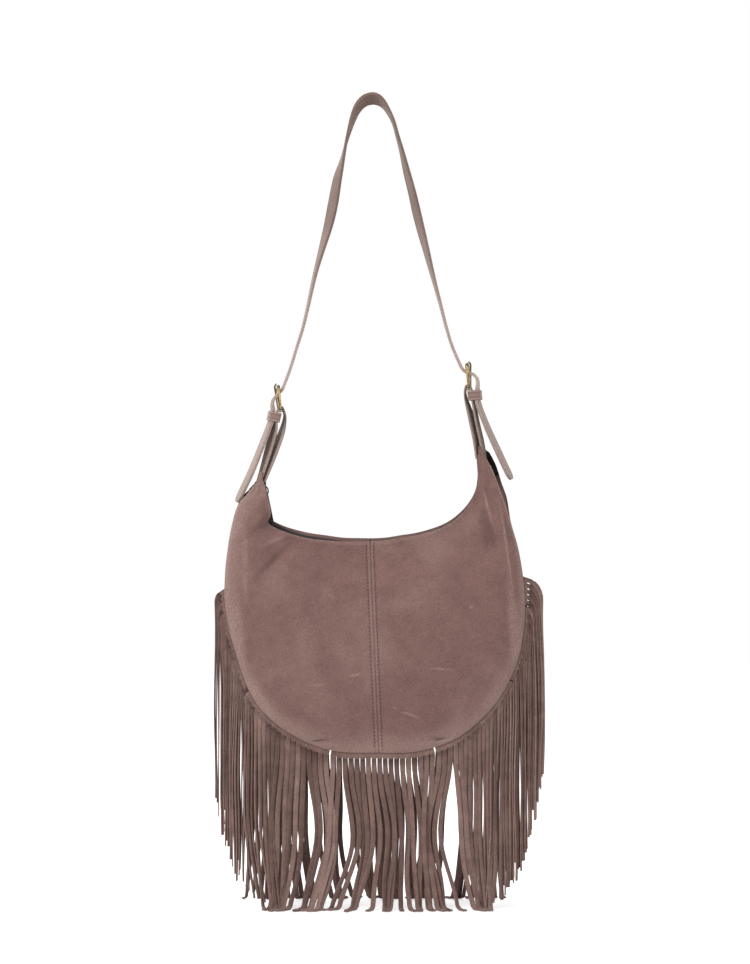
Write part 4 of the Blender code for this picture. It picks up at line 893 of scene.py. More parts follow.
@dataclass
class BagBody:
    """The four suede panels, the gusset and the loose lining, with their stitching."""

    outline: BagOutline
    finishes: Finishes
    lining_cut: tuple[float, float] = (0.36, 0.50)
    lining_area: float = 0.165
    creases: Sequence[Crease] = (
        Crease((291, 546), (264, 575), 7.0, -2.6), Crease((285, 534), (266, 545), 5.0, 2.2),
        Crease((262, 500), (250, 560), 6.0, 1.6), Crease((300, 556), (282, 590), 9.0, 1.6),
        Crease((330, 562), (318, 600), 12.0, -1.4), Crease((484, 515), (490, 548), 5.0, -3.2),
        Crease((482, 486), (493, 540), 3.5, 1.6), Crease((455, 545), (470, 575), 9.0, -1.4),
        Crease((498, 500), (511, 592), 3.5, 1.6), Crease((505, 560), (504, 640), 6.0, -1.2),
        Crease((313, 740), (329, 736.5), 1.8, -2.6), Crease((311, 744), (331, 741), 2.2, 1.0),
        Crease((433, 735.5), (451, 737.5), 1.8, -2.6), Crease((431, 740), (452, 742), 2.2, 1.0),
        Crease((240, 560), (252, 600), 4.0, 1.2))

    def relief(self, at: float, share: float, side: int, here: Array) -> float:
        """Small folds and the pull of the seams, over the plain surface of a panel.

        Args:
            at: Station.
            share: Share of the way from the rim to the seam.
            side: -1 for the front or 1 for the back.
            here: The plain point.

        Returns:
            The extra height.
        """
        keep = ramp(0.0, 0.07, share) * ramp(0.0, 0.03, 1.0 - share)
        gap = self.from_seam(at, share)
        seam = -0.7 * MM * math.exp(-(gap / 0.0009) ** 2) - 0.6 * MM * math.exp(-(gap / 0.016) ** 2)
        seam += 0.55 * MM * math.exp(-((gap - 0.0021) / 0.0012) ** 2)
        seam -= 0.40 * MM * math.exp(-((gap - 0.0042) / 0.0011) ** 2)
        wave = 0.9 * MM * math.sin(at * 1.7 + share * 6.0 + side) * math.sin(share * 9.0 + at * 0.6)
        wave += 0.45 * MM * math.sin(at * 4.1 - share * 13.0 + 2.0 * side)
        edge = 0.35 * MM * math.sin(at * 21.0) * ramp(0.86, 0.97, share)
        if side > 0:
            return keep * (seam + wave + edge)
        fold = sum(crease.height(here[0], here[2]) for crease in self.creases)
        return keep * (seam + 0.7 * wave + edge + 1.3 * fold)

    @staticmethod
    def from_seam(at: float, share: float) -> float:
        """Distance from the seam down the middle, in metres."""
        return abs(at - 11.0) * (0.0177 + 0.0345 * share)

    def marks(self, at: float, share: float, side: int) -> tuple[float, float, float]:
        """Share of paler nap at a place of a panel, from wear and painted highlight, share of painted shade,
        and how black its inner face is painted as shade inside.
        """
        # Paler near the rim and the outer seam, from wear and painted highlight where the surface turns to
        # the light; paler at the left peak and down the left side, painted highlight of the lit side.
        edge = ramp(0.88, 1.0, share) * 0.55 + ramp(0.03, 0.0, share) * 0.3
        peak = 0.25 * ramp(4.0, 1.0, at)
        left = 0.35 * ramp(6.5, 4.0, at) * ramp(0.45, 0.9, share)
        # Painted shade in the groove of the middle seam and of its stitch lines, and a painted highlight on
        # the raised edge between them.
        gap = self.from_seam(at, share)
        dark = 0.95 * math.exp(-(gap / 0.0010) ** 2) + 0.28 * math.exp(-((gap - 0.0042) / 0.0012) ** 2)
        wear_and_highlight = edge + peak + left + 0.22 * math.exp(-((gap - 0.0021) / 0.0011) ** 2)
        # The inner face is painted near black below the rim: painted shade inside the bag.
        return min(wear_and_highlight, 0.9), min(dark, 0.9), ramp(0.025, 0.04, share)

    def panel(self, name: str, side: int, left: bool) -> None:
        """Make one suede half of the front or the back.

        Args:
            name: Name of the CAD node that it stands for.
            side: -1 for the front or 1 for the back.
            left: Whether it ends at the left peak.
        """
        near = 11.0 + np.array([0.0, 0.01, 0.02, 0.035, 0.055, 0.08, 0.11, 0.14, 0.18, 0.23, 0.3])
        across = np.concatenate([near, np.linspace(11.4, 22.0, 112)])
        if left:
            across = (22.0 - across)[::-1]
        down = np.sort(np.concatenate([np.linspace(0.0, 0.9, 72), np.linspace(0.91, 1.0, 14)]))
        shift = -0.5 * FIT if left else 0.5 * FIT

        def place(at: float, share: float) -> Array:
            here = self.outline.inner(at, share, side)
            here[1] += side * self.relief(at, share, side, here)
            if at == 11.0:
                here[0] += shift
            return here

        piece = cut_sheet(name + "_suede", across, down, place, self.outline.suede,
                          lambda at, share: self.marks(at, share, side))
        dress(piece, self.finishes.body, Slot.BODY, replaces=[name], angle=60.0)

    def surface_line(self, steps: Sequence[tuple[float, float]], side: int) -> tuple[Array, Array]:
        """Points on the outer face with the ways out of it.

        Args:
            steps: Stations and shares along the line.
            side: -1 for the front or 1 for the back.

        Returns:
            The points and the ways.
        """
        rows = []
        for at, share in steps:
            row = self.outline.point(at, share, side, self.outline.suede)
            row[1] += side * self.relief(at, share, side, row[:3])
            rows.append(row)
        table = np.array(rows)
        return table[:, :3], table[:, 3:]

    def seams(self) -> None:
        """Sew the rows beside the seam down the middle and the row under each rim."""
        for word, side in (("front", -1), ("back", 1)):
            for label, gap in (("left", -0.0046), ("right", 0.0036)):
                steps = [(11.0 + gap / self.from_seam(12.0, share), share)
                         for share in np.linspace(0.012, 0.985, 90)]
                points, away = self.surface_line(steps, side)
                stitch_row(f"{word}_seam_stitches_{label}", points, away, 0.0044, 0.0021, 0.0013,
                           self.finishes.thread, Slot.BODY, sink=0.35)
            steps = [(at, 0.0045 / 0.2 + 0.012 * abs(at - 11) / 8) for at in np.linspace(4.6, 17.6, 150)]
            points, away = self.surface_line(steps, side)
            stitch_row(f"{word}_rim_stitches", points, away, 0.0040, 0.0026, 0.0006,
                       self.finishes.rim_thread, Slot.BODY, sink=0.5)

    def gusset(self) -> None:
        """Make the band between the two outer seams, sunk in at its ends."""
        outline = self.outline

        def place(at: float, across: float) -> Array:
            start, end = math.floor(5.45), math.ceil(17.35)
            fringe = ramp(start - 1, start, at) * (1.0 - ramp(end, end + 1, at))
            half = outline.half_depth(at) - FIT - 0.0018 * fringe
            sag = ease(outline.sag, at) * MM * (1.0 - across ** 2)
            sag += 0.5 * MM * math.sin(at * 5.0 + across * 2.0) * (1.0 - across ** 2)
            out = outline.seam(at) + outline.away(at) * (sag - outline.suede) + outline.flare(at, across)
            return vec(out[0], across * half, out[1])

        # Paler along the middle and darker towards both seams; painted shade at the sunken ends, and the
        # inner face painted near black as shade inside the bag.
        piece = cut_sheet("gusset_suede", np.linspace(2.0, 20.6, 140), np.linspace(-1.0, 1.0, 13),
                          place, outline.suede,
                          lambda at, across: (0.2 * (1 - abs(across)), max(
                              0.35 * abs(across), 0.8 * ramp(19.6, 20.5, at), 0.7 * ramp(3.2, 2.2, at)),
                              0.8),
                          centre=vec(0.0, 0.0, -0.6))
        dress(piece, self.finishes.body, Slot.BODY, replaces=["gusset"], angle=60.0)

    def lining(self) -> None:
        """Make the loose black sack inside the suede."""
        outline = self.outline
        slack = 0.0050

        def place(at: float, way: float) -> Array:
            top = 0.13 + 0.05 * ramp(14.0, 17.5, at)
            side = -1 if way < 0 else 1
            if abs(way) > 1.0:
                share = top + (0.9 - top) * (2.0 - abs(way))
                row = outline.point(at, share, side, -slack - 0.0008)
                fold = 0.0009 * math.sin(at * 7.0 + share * 4.0) * ramp(0.0, 0.2, share - top)
                return row[:3] - row[3:] * max(fold, 0.0)
            corner = outline.point(at, 0.9, side, -slack - 0.0008)[:3]
            half = outline.half_depth(at) - slack - 0.0008
            sag = ease(outline.sag, at) * MM * (1.0 - way * way)
            deep = outline.seam(at) + outline.away(at) * (sag - outline.suede - slack - 0.0008)
            flat = vec(deep[0], way * half, deep[1])
            return flat + (corner - flat) * ramp(0.8, 1.0, abs(way))

        piece = cut_sheet("lining_cloth", np.linspace(3.6, 18.9, 76), np.linspace(-2.0, 2.0, 65),
                          place, 0.0008)
        dress(piece, self.finishes.lining, Slot.LINING, replaces=["lining"], angle=60.0)

    def build(self) -> None:
        """Make every piece of the body."""
        for word, side in (("front", -1), ("back", 1)):
            self.panel(f"{word}_panel_left", side, True)
            self.panel(f"{word}_panel_right", side, False)
        self.gusset()
        self.lining()
        self.seams()


# Fringe


@dataclass
class Strand:
    """One cut strand of the fringe: where it leaves its band and where it hangs."""

    strip: int
    edges: tuple[float, float]
    root: Array
    away: Array
    band: float
    width: float
    hang: float = 0.0
    twist: float = 0.0


@dataclass
class Fringe:
    """Ten combs of suede caught in the two outer seams."""

    outline: BagOutline
    finishes: Finishes
    start: float = 5.45
    end: float = 17.35
    strips: int = 5
    gap: float = 0.0016
    slit: float = 0.0006
    pitch: float = 0.0065
    thickness: float = 0.0018
    stacked: float = 0.0014
    length: float = 0.245
    length_bottom: float = 0.200
    band_side: float = 0.004
    band_bottom: float = 0.007
    drift: Sequence[tuple[float, float]] = (
        (-0.165, 0.0), (-0.140, 15.0), (-0.118, 6.0), (-0.100, -9.0), (-0.075, -14.0),
        (-0.050, -16.0), (-0.030, -18.0), (-0.006, -12.0), (0.010, -2.0), (0.060, 3.0),
        (0.080, 10.0), (0.102, 18.0), (0.125, 9.0), (0.145, -7.0), (0.165, 0.0))
    places: Sequence[str] = ("outer_left", "lower_left", "centre", "lower_right", "outer_right")
    strands: list[Strand] = field(default_factory=list)

    def lay_out(self) -> None:
        """Place every strand along the seam and over the floor."""
        at = np.linspace(self.start, self.end, 241)
        line = np.array([self.outline.seam(a) for a in at])
        run = np.concatenate([[0.0], np.cumsum(np.hypot(*np.diff(line, axis=0).T))])
        long = run[-1] / self.strips
        count = int(round((long - self.gap) / self.pitch))
        pitch = (long - self.gap + self.slit) / count
        for number in range(self.strips):
            first = number * long + 0.5 * self.gap
            for j in range(count):
                ends = (first + j * pitch, first + (j + 1) * pitch - self.slit)
                middle = float(np.interp(0.5 * sum(ends), run, at))
                away = self.outline.away(middle)
                band = self.band_side + (self.band_bottom - self.band_side) * away[1] ** 2
                self.strands.append(Strand(
                    number, tuple(float(np.interp(e, run, at)) for e in ends),
                    self.outline.seam(middle) + away * band, away, band, pitch - self.slit))
        step = self.stacked + 0.0003
        hang = [s.root[0] for s in self.strands]
        middle = len(hang) // 2
        for j in range(middle + 1, len(hang)):
            hang[j] = max(hang[j] + 0.001 * abs(self.strands[j].away[0]), hang[j - 1] + step)
        for j in range(middle - 1, -1, -1):
            hang[j] = min(hang[j] - 0.001 * abs(self.strands[j].away[0]), hang[j + 1] - step)
        for j, strand in enumerate(self.strands):
            strand.hang = hang[j]
            near = min(abs(hang[k] - hang[j]) for k in (j - 1, j + 1) if 0 <= k < len(hang))
            free = min(max((near - 0.0004) / strand.width, 0.0), 1.0)
            strand.twist = math.acos(free)

    def fall(self, strand: Strand, side: int, chance: random.Random,
             clump: tuple[float, float]) -> tuple[Array, Array]:
        """Path of a strand from its band to its tip, and the way of its width.

        Args:
            strand: The strand.
            side: -1 for the front or 1 for the back.
            chance: Seeded source of the small differences.
            clump: How far its neighbours draw it aside at half its length and at its tip.

        Returns:
            The points and the ways.
        """
        seam_y = side * (0.032 - FIT - 0.5 * self.thickness)
        root, away = strand.root, strand.away
        low_share = max(-away[1], 0.0)
        length = self.length + (self.length_bottom - self.length) * low_share ** 3
        length = length * chance.uniform(0.965, 1.035) - strand.band
        reach = abs(strand.hang - root[0])
        bend = 0.6 * max(reach, 0.005)
        low = vec(strand.hang, root[1] - max(1.3 * reach, 0.012))
        knots = [root, root + away * bend, low + vec(0.0, bend), low]
        rows = []
        for t in np.linspace(0.0, 1.0, 7):
            a, b, c, d = (1 - t) ** 3, 3 * t * (1 - t) ** 2, 3 * t * t * (1 - t), t ** 3
            p = a * knots[0] + b * knots[1] + c * knots[2] + d * knots[3]
            rows.append((p[0], seam_y, p[1]))
        used = sum(math.dist(p, q) for p, q in zip(rows, rows[1:]))
        left = length - used
        drop = low[1] - FLOOR_Z - self.thickness
        radius = chance.uniform(0.005, 0.008)
        loose = 0.35 + 0.65 * low_share
        stands = ramp(-0.03, 0.0, left - drop)
        straight = min(left, drop - radius)
        aside = ease(self.drift, strand.hang) * (1.0 if side < 0 else -0.7) + chance.gauss(0.0, 2.4)
        aside *= stands * MM
        apart = 0.5 * self.pitch if side > 0 else 0.0
        mid_x = loose * (chance.gauss(0.0, 0.0008) + clump[0])
        end_x = loose * (chance.gauss(0.0, 0.0012) + clump[1])
        mid_y = side * chance.uniform(0.0, 0.006)
        ahead = side * (stands * chance.uniform(0.001, 0.007) + chance.uniform(0.0, 0.003))
        phase = chance.uniform(0.0, 6.28)
        quiver = chance.uniform(0.3, 1.0) * 0.0009
        for t in np.linspace(0.07, 1.0, 14):
            middle, end = math.sin(math.pi * t) ** 2 * (1 - 0.3 * t), t ** 1.6
            last = max((t - 0.5) / 0.5, 0.0) ** 1.7
            x = strand.hang + mid_x * middle + end_x * end + aside * last
            x += quiver * t * math.sin(phase + 9.0 * t) + apart * ramp(0.0, 0.4, t)
            rows.append((x, seam_y + mid_y * middle + ahead * last, low[1] - straight * t))
        if left > straight + 0.5 * radius:
            foot = np.array(rows[-1])
            rest = min(max(left - straight - 0.5 * math.pi * radius, 0.003), 0.011)
            heading = unit(vec(aside * 60.0, side))
            for t in (0.35, 0.7, 1.0):
                turned = 0.5 * math.pi * t
                out = radius * (1 - math.cos(turned))
                rows.append((foot[0] + heading[0] * out, foot[1] + heading[1] * out,
                             foot[2] - radius * math.sin(turned)))
            curl = vec(heading[1], -heading[0]) * chance.uniform(-0.25, 0.25)
            for t in (0.5, 1.0):
                gone = heading * (radius + rest * t) + curl * rest * t * t
                rows.append((foot[0] + gone[0], foot[1] + gone[1], foot[2] - radius))
        path = np.array(rows)
        path[:, 2] = np.maximum(path[:, 2], FLOOR_Z + 0.5 * self.thickness + 0.0002)
        end_turn = chance.choice((-1.0, 1.0)) * chance.uniform(0.05, 0.85) * loose
        wide = []
        edge = vec(-away[1], 0.0, away[0])
        for k in range(len(path)):
            t = k / (len(path) - 1)
            turn = strand.twist * ramp(0.05, 0.45, t) + end_turn * ramp(0.12, 0.8, t)
            turn += 0.12 * math.sin(phase + 5.0 * t) * t
            flat = unit(edge * (1 - ramp(0.0, 0.4, t)) + vec(1.0, 0.0, 0.0) * ramp(0.0, 0.4, t))
            wide.append(math.cos(turn) * flat + math.sin(turn) * vec(0.0, 1.0, 0.0))
        return path, np.array(wide)

    def comb(self, name: str, strands: Sequence[Strand], side: int, seed: int) -> None:
        """Cut one strip into its strands and let them hang.

        Args:
            name: Name of the CAD node that it stands for.
            strands: Its strands in order.
            side: -1 for the front or 1 for the back.
            seed: Seed of its small differences.
        """
        chance = random.Random(seed)
        bunching = random.Random(seed - side)
        near = side * (0.032 - FIT) if side < 0 else 0.032 - FIT - self.thickness
        far = near + self.thickness
        points: list[Array] = []
        faces: list[tuple[int, ...]] = []
        wear_and_highlight: list[float] = []
        shade: list[float] = []
        columns = []
        # Each strand's band is painted a little paler, with painted shade where it sits in the seam.
        for strand in strands:
            for at in strand.edges:
                seam, away = self.outline.seam(at), self.outline.away(at)
                base = len(points)
                for p in (seam - away * 0.0007, seam + away * strand.band):
                    for y in (near, far):
                        points.append(vec(p[0], y, p[1]))
                        wear_and_highlight.append(0.1)
                        shade.append(0.25)
                columns.append(tuple(range(base, base + 4)))
        for k, (one, two) in enumerate(zip(columns, columns[1:])):
            faces += [(one[0], one[2], two[2], two[0]), (one[1], two[1], two[3], one[3]),
                      (one[0], two[0], two[1], one[1])]
            if k % 2 == 1:
                faces.append((one[2], one[3], two[3], two[2]))
        faces.append((columns[0][0], columns[0][1], columns[0][3], columns[0][2]))
        faces.append((columns[-1][0], columns[-1][2], columns[-1][3], columns[-1][1]))
        clump = (0.0, 0.0)
        left_in_clump = 0
        for k, strand in enumerate(strands):
            if left_in_clump == 0:
                left_in_clump = bunching.choice((2, 3, 3, 4, 5, 6))
                pull = bunching.gauss(0.0, 0.0042)
                grip = bunching.uniform(0.3, 1.0)
                size = left_in_clump
            place = (size - 1) * 0.5 - (size - left_in_clump)
            clump = (pull - place * grip * 0.0011, 0.7 * pull - place * grip * 0.0016
                     * chance.uniform(-0.2, 1.0))
            left_in_clump -= 1
            path, wide = self.fall(strand, side, chance, clump)
            path[0] = 0.5 * sum(points[i] for i in (columns[2 * k][2], columns[2 * k][3],
                                                    columns[2 * k + 1][2], columns[2 * k + 1][3]))
            _, wide, face = frames_along(path, wide)
            one, two = columns[2 * k], columns[2 * k + 1]
            ring = [one[2], two[2], two[3], one[3]]
            if np.dot(points[two[2]] - points[one[2]], wide[1]) < 0:
                wide, face = -wide, -face
            if face[1][1] < 0:
                face = -face
            # A random darker tone and a random paler nap toward the tip for each strand; painted shade
            # darkens each strand near its root.
            tone = chance.uniform(0.0, 0.6)
            pale = chance.uniform(0.0, 0.35)
            for n in range(1, len(path)):
                if np.dot(wide[n], wide[n - 1]) < 0:
                    wide[n] = -wide[n]
                if np.dot(face[n], face[n - 1]) < 0:
                    face[n] = -face[n]
            for n in range(1, len(path)):
                base = len(points)
                flat = 1.0 - strand.twist / (0.5 * math.pi)
                half = 0.47 * strand.width
                thick = 0.5 * (self.stacked + (self.thickness - self.stacked) * flat)
                if n == len(path) - 1:
                    half *= chance.uniform(0.85, 1.0)
                for a, b in ((-1, -1), (1, -1), (1, 1), (-1, 1)):
                    corner = path[n] + wide[n] * half * a + face[n] * thick * b
                    corner[2] = max(corner[2], FLOOR_Z + 0.0002 * (2 + b))
                    points.append(corner)
                    t = n / (len(path) - 1)
                    wear_and_highlight.append(pale * (0.4 + 0.6 * t))
                    shade.append(tone * (1 - 0.5 * t) + 0.35 * (1 - ramp(0.0, 0.25, t)))
                fresh = [base, base + 1, base + 2, base + 3]
                for e in range(4):
                    f = (e + 1) % 4
                    faces.append((ring[e], fresh[e], fresh[f], ring[f]))
                ring = fresh
            faces.append(tuple(ring))
        piece = from_faces(name + "_suede", points, faces)
        paint(piece, "wear_and_highlight", wear_and_highlight)
        paint(piece, "shade", shade)
        apply_modifier(piece, "BEVEL", width=0.0005, segments=2, limit_method="ANGLE",
                       angle_limit=math.radians(55.0))
        dress(piece, self.finishes.fringe, Slot.FRINGE, replaces=[name], angle=50.0)
        long = sum(math.dist(a.root, b.root) for a, b in zip(strands, strands[1:])) + self.pitch

    def build(self) -> None:
        """Make the ten combs."""
        self.lay_out()
        for word, side in (("front", -1), ("back", 1)):
            for number, place in enumerate(self.places):
                strands = [s for s in self.strands if s.strip == number]
                self.comb(f"fringe_{word}_{place}", strands, side, 31 * number + side + 4)


# Strap and hardware


@dataclass
class Buckle:
    """Place of one buckle, with the lengths of leather round it."""

    name: str
    heel: Array
    rise: tuple[float, float]
    turn: float = 4.0
    up: Array = field(init=False)
    flat: Array = field(init=False)
    out: Array = field(init=False)
    bar: Array = field(init=False)

    def __post_init__(self) -> None:
        """Work out the ways up the frame, outward and along the bars."""
        self.up = unit(vec(self.rise[0], 0.0, self.rise[1]))
        sign = -1.0 if self.name == "left" else 1.0
        self.flat = sign * vec(self.up[2], 0.0, -self.up[0])
        turn = math.radians(self.turn)
        self.out = math.cos(turn) * self.flat + math.sin(turn) * vec(0.0, -1.0, 0.0)
        self.bar = np.cross(self.up, self.out)

    def place(self, up: float, out: float) -> Array:
        """Point in millimetres up the frame and outward, in the plane of the bag."""
        return self.heel + self.up * up * MM + self.flat * out * MM

    def local(self, up: float, out: float, along: float) -> Array:
        """Point in metres in the turned frame of the buckle."""
        return self.heel + self.up * up + self.out * out + self.bar * along

    def width_way(self, twist: float) -> Array:
        """Way of a strip's width, turned by a twist in degrees."""
        turn = math.radians(twist)
        return math.cos(turn) * vec(0.0, 1.0, 0.0) + math.sin(turn) * self.flat


@dataclass
class Strap:
    """The long strap with both chapes, keepers and buckles."""

    finishes: Finishes
    left: Buckle
    right: Buckle
    width: float = 0.024
    thickness: float = 0.0032
    chape_thickness: float = 0.0020
    bar_radius: float = 0.0017
    slot: float = 0.0040
    left_tail: Sequence[tuple[float, float, float]] = (
        (-102.6, 63.4, 15.0), (-86.4, 53.3, 15.0), (-67.1, 41.5, 15.0), (-39.2, 26.5, 14.0),
        (-20.1, 16.6, 13.0), (-8.8, 11.2, 12.0), (0.4, 8.9, 9.0), (7.0, 8.9, 6.0),
        (11.8, 7.4, 5.0), (15.2, 4.6, 4.0), (19.1, 0.2, 4.0), (23.1, -4.6, 4.0),
        (28.7, -7.8, 3.0))
    right_tail: Sequence[tuple[float, float, float]] = (
        (-110.0, 46.8, 15.0), (-94.4, 39.8, 15.0), (-73.7, 31.2, 15.0), (-47.3, 20.5, 14.0),
        (-26.9, 13.4, 13.0), (-13.8, 10.2, 12.0), (-4.4, 10.4, 9.0), (4.5, 11.5, 6.0),
        (10.0, 10.8, 5.0), (14.0, 8.2, 4.0), (16.4, 4.7, 4.0), (18.0, -1.2, 4.0),
        (22.4, -6.0, 4.0), (31.2, -10.1, 4.0))
    left_leg: Sequence[tuple[float, float, float]] = (
        (-95.0, -314.5, 2.0), (-89.1, -295.0, 3.0), (-81.7, -271.4, 4.0), (-75.9, -247.8, 5.0),
        (-70.8, -224.2, 6.5), (-65.3, -200.6, 9.0), (-58.8, -177.0, 14.0), (-50.7, -147.5, 22.0),
        (-45.7, -123.9, 25.0), (-40.5, -94.4, 21.0), (-37.4, -81.8, 15.5), (-33.5, -66.7, 7.0),
        (-28.9, -46.0, 0.0), (-21.8, -21.6, -9.0), (-15.6, -8.4, -15.0), (-8.1, -0.9, -20.0),
        (0.0, 1.7, -22.0))
    right_leg: Sequence[tuple[float, float, float]] = (
        (5.8, 1.0, -20.0), (11.6, -2.4, -13.0), (17.5, -9.4, -6.0), (25.4, -24.6, -2.0),
        (30.6, -42.4, -2.0), (35.6, -60.4, -5.0), (41.4, -84.5, -11.0), (47.7, -108.6, -14.0),
        (53.2, -132.6, -16.0), (59.2, -156.8, -14.0), (64.5, -177.0, -10.0),
        (70.0, -198.6, -6.0), (75.9, -221.1, -2.0), (82.0, -243.8, 0.0), (87.7, -266.3, 1.0),
        (94.5, -288.9, 3.0))
    chapes: Sequence[tuple] = (
        ([(-84.0, 36.0, 14.0), (-66.0, 28.0, 18.0), (-44.0, 18.8, 23.0), (-24.2, 10.8, 21.0),
          (-13.0, 7.8, 13.0)],
         [(-12.0, -3.6, 9.0), (-26.5, 1.6, 19.0), (-49.2, 14.2, 29.0), (-81.0, 31.0, 24.0)],
         ((-4.6, 5.0), (-4.6, -4.2))),
        ([(-98.0, 16.0, 14.0), (-84.8, 15.6, 14.0), (-62.5, 13.0, 13.0), (-39.4, 8.8, 12.0),
          (-20.5, 6.2, 11.0), (-12.0, 4.9, 10.0)],
         [(-12.0, -3.4, 8.0), (-24.0, -0.4, 15.0), (-43.0, 4.2, 22.0), (-62.0, 7.8, 24.0),
          (-84.0, 9.6, 20.0)],
         ((-4.6, 4.3), (-4.6, -4.0))))
    keepers: Sequence[tuple[float, float, float, float, float]] = (
        (-7.4, 8.5, 20.0, 10.0, 0.0102), (-9.2, 7.45, 3.0, 10.0, 0.0112))

    def path(self) -> tuple[Array, Array]:
        """Middle line of the long strap with the way of its width.

        Returns:
            The points and the ways.
        """
        rows = []
        for up, out, twist in self.left_tail:
            rows.append((*self.left.place(up, out), twist))
        rows += [(x * MM, 0.0, z * MM, twist) for x, z, twist in self.left_leg + self.right_leg]
        for up, out, twist in self.right_tail[::-1]:
            rows.append((*self.right.place(up, out), twist))
        table = even_steps(np.array(rows), 0.0026)
        path, twist = table[:, :3], np.radians(table[:, 3])
        way = np.gradient(path, axis=0)
        way /= np.linalg.norm(way, axis=1)[:, None]
        across = np.tile(vec(0.0, 1.0, 0.0), (len(path), 1))
        wide = np.cos(twist)[:, None] * across + np.sin(twist)[:, None] * np.cross(way, across)
        return path, wide

    def holes(self, path: Array, buckle: Buckle) -> tuple[int, int]:
        """First and last path points of the hole that a prong passes through."""
        near = [k for k, p in enumerate(path)
                if -0.006 < np.dot(p - buckle.heel, buckle.out) < 0.0085
                and 0.0085 < np.dot(p - buckle.heel, buckle.up) < 0.0215]
        return min(near), max(near)

    def stitches(self, name: str, path: Array, wide: Array, half: float, thickness: float,
                 sides: Sequence[int], span: tuple[int, int]) -> None:
        """Sew a row along each edge of a strip.

        Args:
            name: Start of the pieces' names.
            path: Middle line.
            wide: Way of the width.
            half: Distance of the rows from the middle.
            thickness: Thickness of the strip.
            sides: Faces that show the rows, -1 or 1.
            span: First and last path points.
        """
        _, wide, face = frames_along(path, wide)
        first, last = span
        for side in sides:
            for row in (-1, 1):
                points = (path + wide * row * half + face * side * 0.5 * thickness)[first:last]
                label = ("inner" if side < 0 else "outer") + ("_a" if row < 0 else "_b")
                stitch_row(f"{name}_stitches_{label}", points, face[first:last] * side, 0.0040,
                           0.0027, 0.0005, self.finishes.strap_thread, Slot.STRAP, sink=0.6,
                           clear=self.off_buckles)

    @staticmethod
    def off_buckles(place: Array) -> bool:
        """Whether a place is clear of both buckle frames."""
        for side in ("left", "right"):
            low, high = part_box(f"{side}_buckle_frame")
            if all(low[k] - 0.002 < place[k] < high[k] + 0.002 for k in range(3)):
                return False
        return True

    def long_strap(self) -> None:
        """Make the two sewn layers that run from tail to tail."""
        path, wide = self.path()
        slots = [self.holes(path, self.left), self.holes(path, self.right)]
        tone = [ease([(-0.48, 0.50), (-0.37, 0.55), (-0.34, 0.95), (-0.27, 0.80), (-0.18, 0.15),
                      (-0.12, 0.0)], p[2]) for p in path]
        piece = strip("shoulder_strap_suede", path, wide, self.width, self.thickness, slots, 0.0040,
                      ends=0.30, crown=0.00025, tone=tone)
        dress(piece, self.finishes.strap, Slot.STRAP, replaces=["shoulder_strap"])
        self.stitches("shoulder_strap", path, wide, 0.5 * self.width - 0.0026, self.thickness + 0.0002,
                      (-1, 1), (4, len(path) - 4))

    def chape(self, buckle: Buckle, outer: Sequence[tuple[float, float, float]],
              inner: Sequence[tuple[float, float, float]], mouth: Sequence[tuple[float, float]]) -> None:
        """Make the folded tab round a heel bar.

        Args:
            buckle: The buckle that it holds.
            outer: Points of the outer layer, up to the bar.
            inner: Points of the inner layer, down from the bar.
            mouth: Points on both sides of the bend.
        """
        radius = self.bar_radius + FIT + 0.5 * self.chape_thickness + 0.0001
        path = [buckle.place(up, out) for up, out, _ in outer]
        wide = [buckle.width_way(twist) for _, _, twist in outer]
        path.append(buckle.place(*mouth[0]))
        wide.append(buckle.width_way(5.0))
        first = len(path) - 1
        for angle in range(0, 181, 20):
            turn = math.radians(angle)
            path.append(buckle.local(radius * math.sin(turn), radius * math.cos(turn), 0.0))
            wide.append(buckle.width_way(4.0))
        path.append(buckle.place(*mouth[1]))
        wide.append(buckle.width_way(5.0))
        last = len(path) - 1
        path += [buckle.place(up, out) for up, out, _ in inner]
        wide += [buckle.width_way(twist) for _, _, twist in inner]
        rows = np.hstack([np.array(path), np.array(wide)])
        lead = even_steps(rows[:first + 1], 0.003)
        tail = even_steps(rows[last:], 0.003)
        table = np.vstack([lead[:-1], rows[first:last + 1], tail[1:]])
        slot = (len(lead) - 1, len(lead) - 1 + last - first)
        outside = 1.0 if buckle.name == "left" else -1.0

        # Painted shadow, near black: on the outer layer's outside along its lead below the bar, over half its
        # width, where the tail shades it, and on the inner layer's inside just past the bend.
        def black(k: int, side: float, across: float) -> float:
            shaded = 0.4 * ramp(slot[0], slot[0] - 3, k) * ramp(0.1, 0.9, across) * (side == outside)
            bend = math.exp(-((k - slot[1] - 2) / 3.0) ** 2) if side != outside else 0.0
            return 0.92 * max(shaded, bend)

        piece = strip(f"{buckle.name}_chape_suede", table[:, :3], table[:, 3:], self.width,
                      self.chape_thickness, [slot], self.slot, tone=[0.5] * len(table), black=black)
        dress(piece, self.finishes.strap, Slot.STRAP, replaces=[f"{buckle.name}_chape"])
        half = 0.5 * self.width - 0.0026
        for label, span in (("lead", (1, slot[0] - 1)), ("tail", (slot[1] + 2, len(table) - 1))):
            self.stitches(f"{buckle.name}_chape_{label}", table[:, :3], table[:, 3:], half,
                          self.chape_thickness, (int(outside),), span)

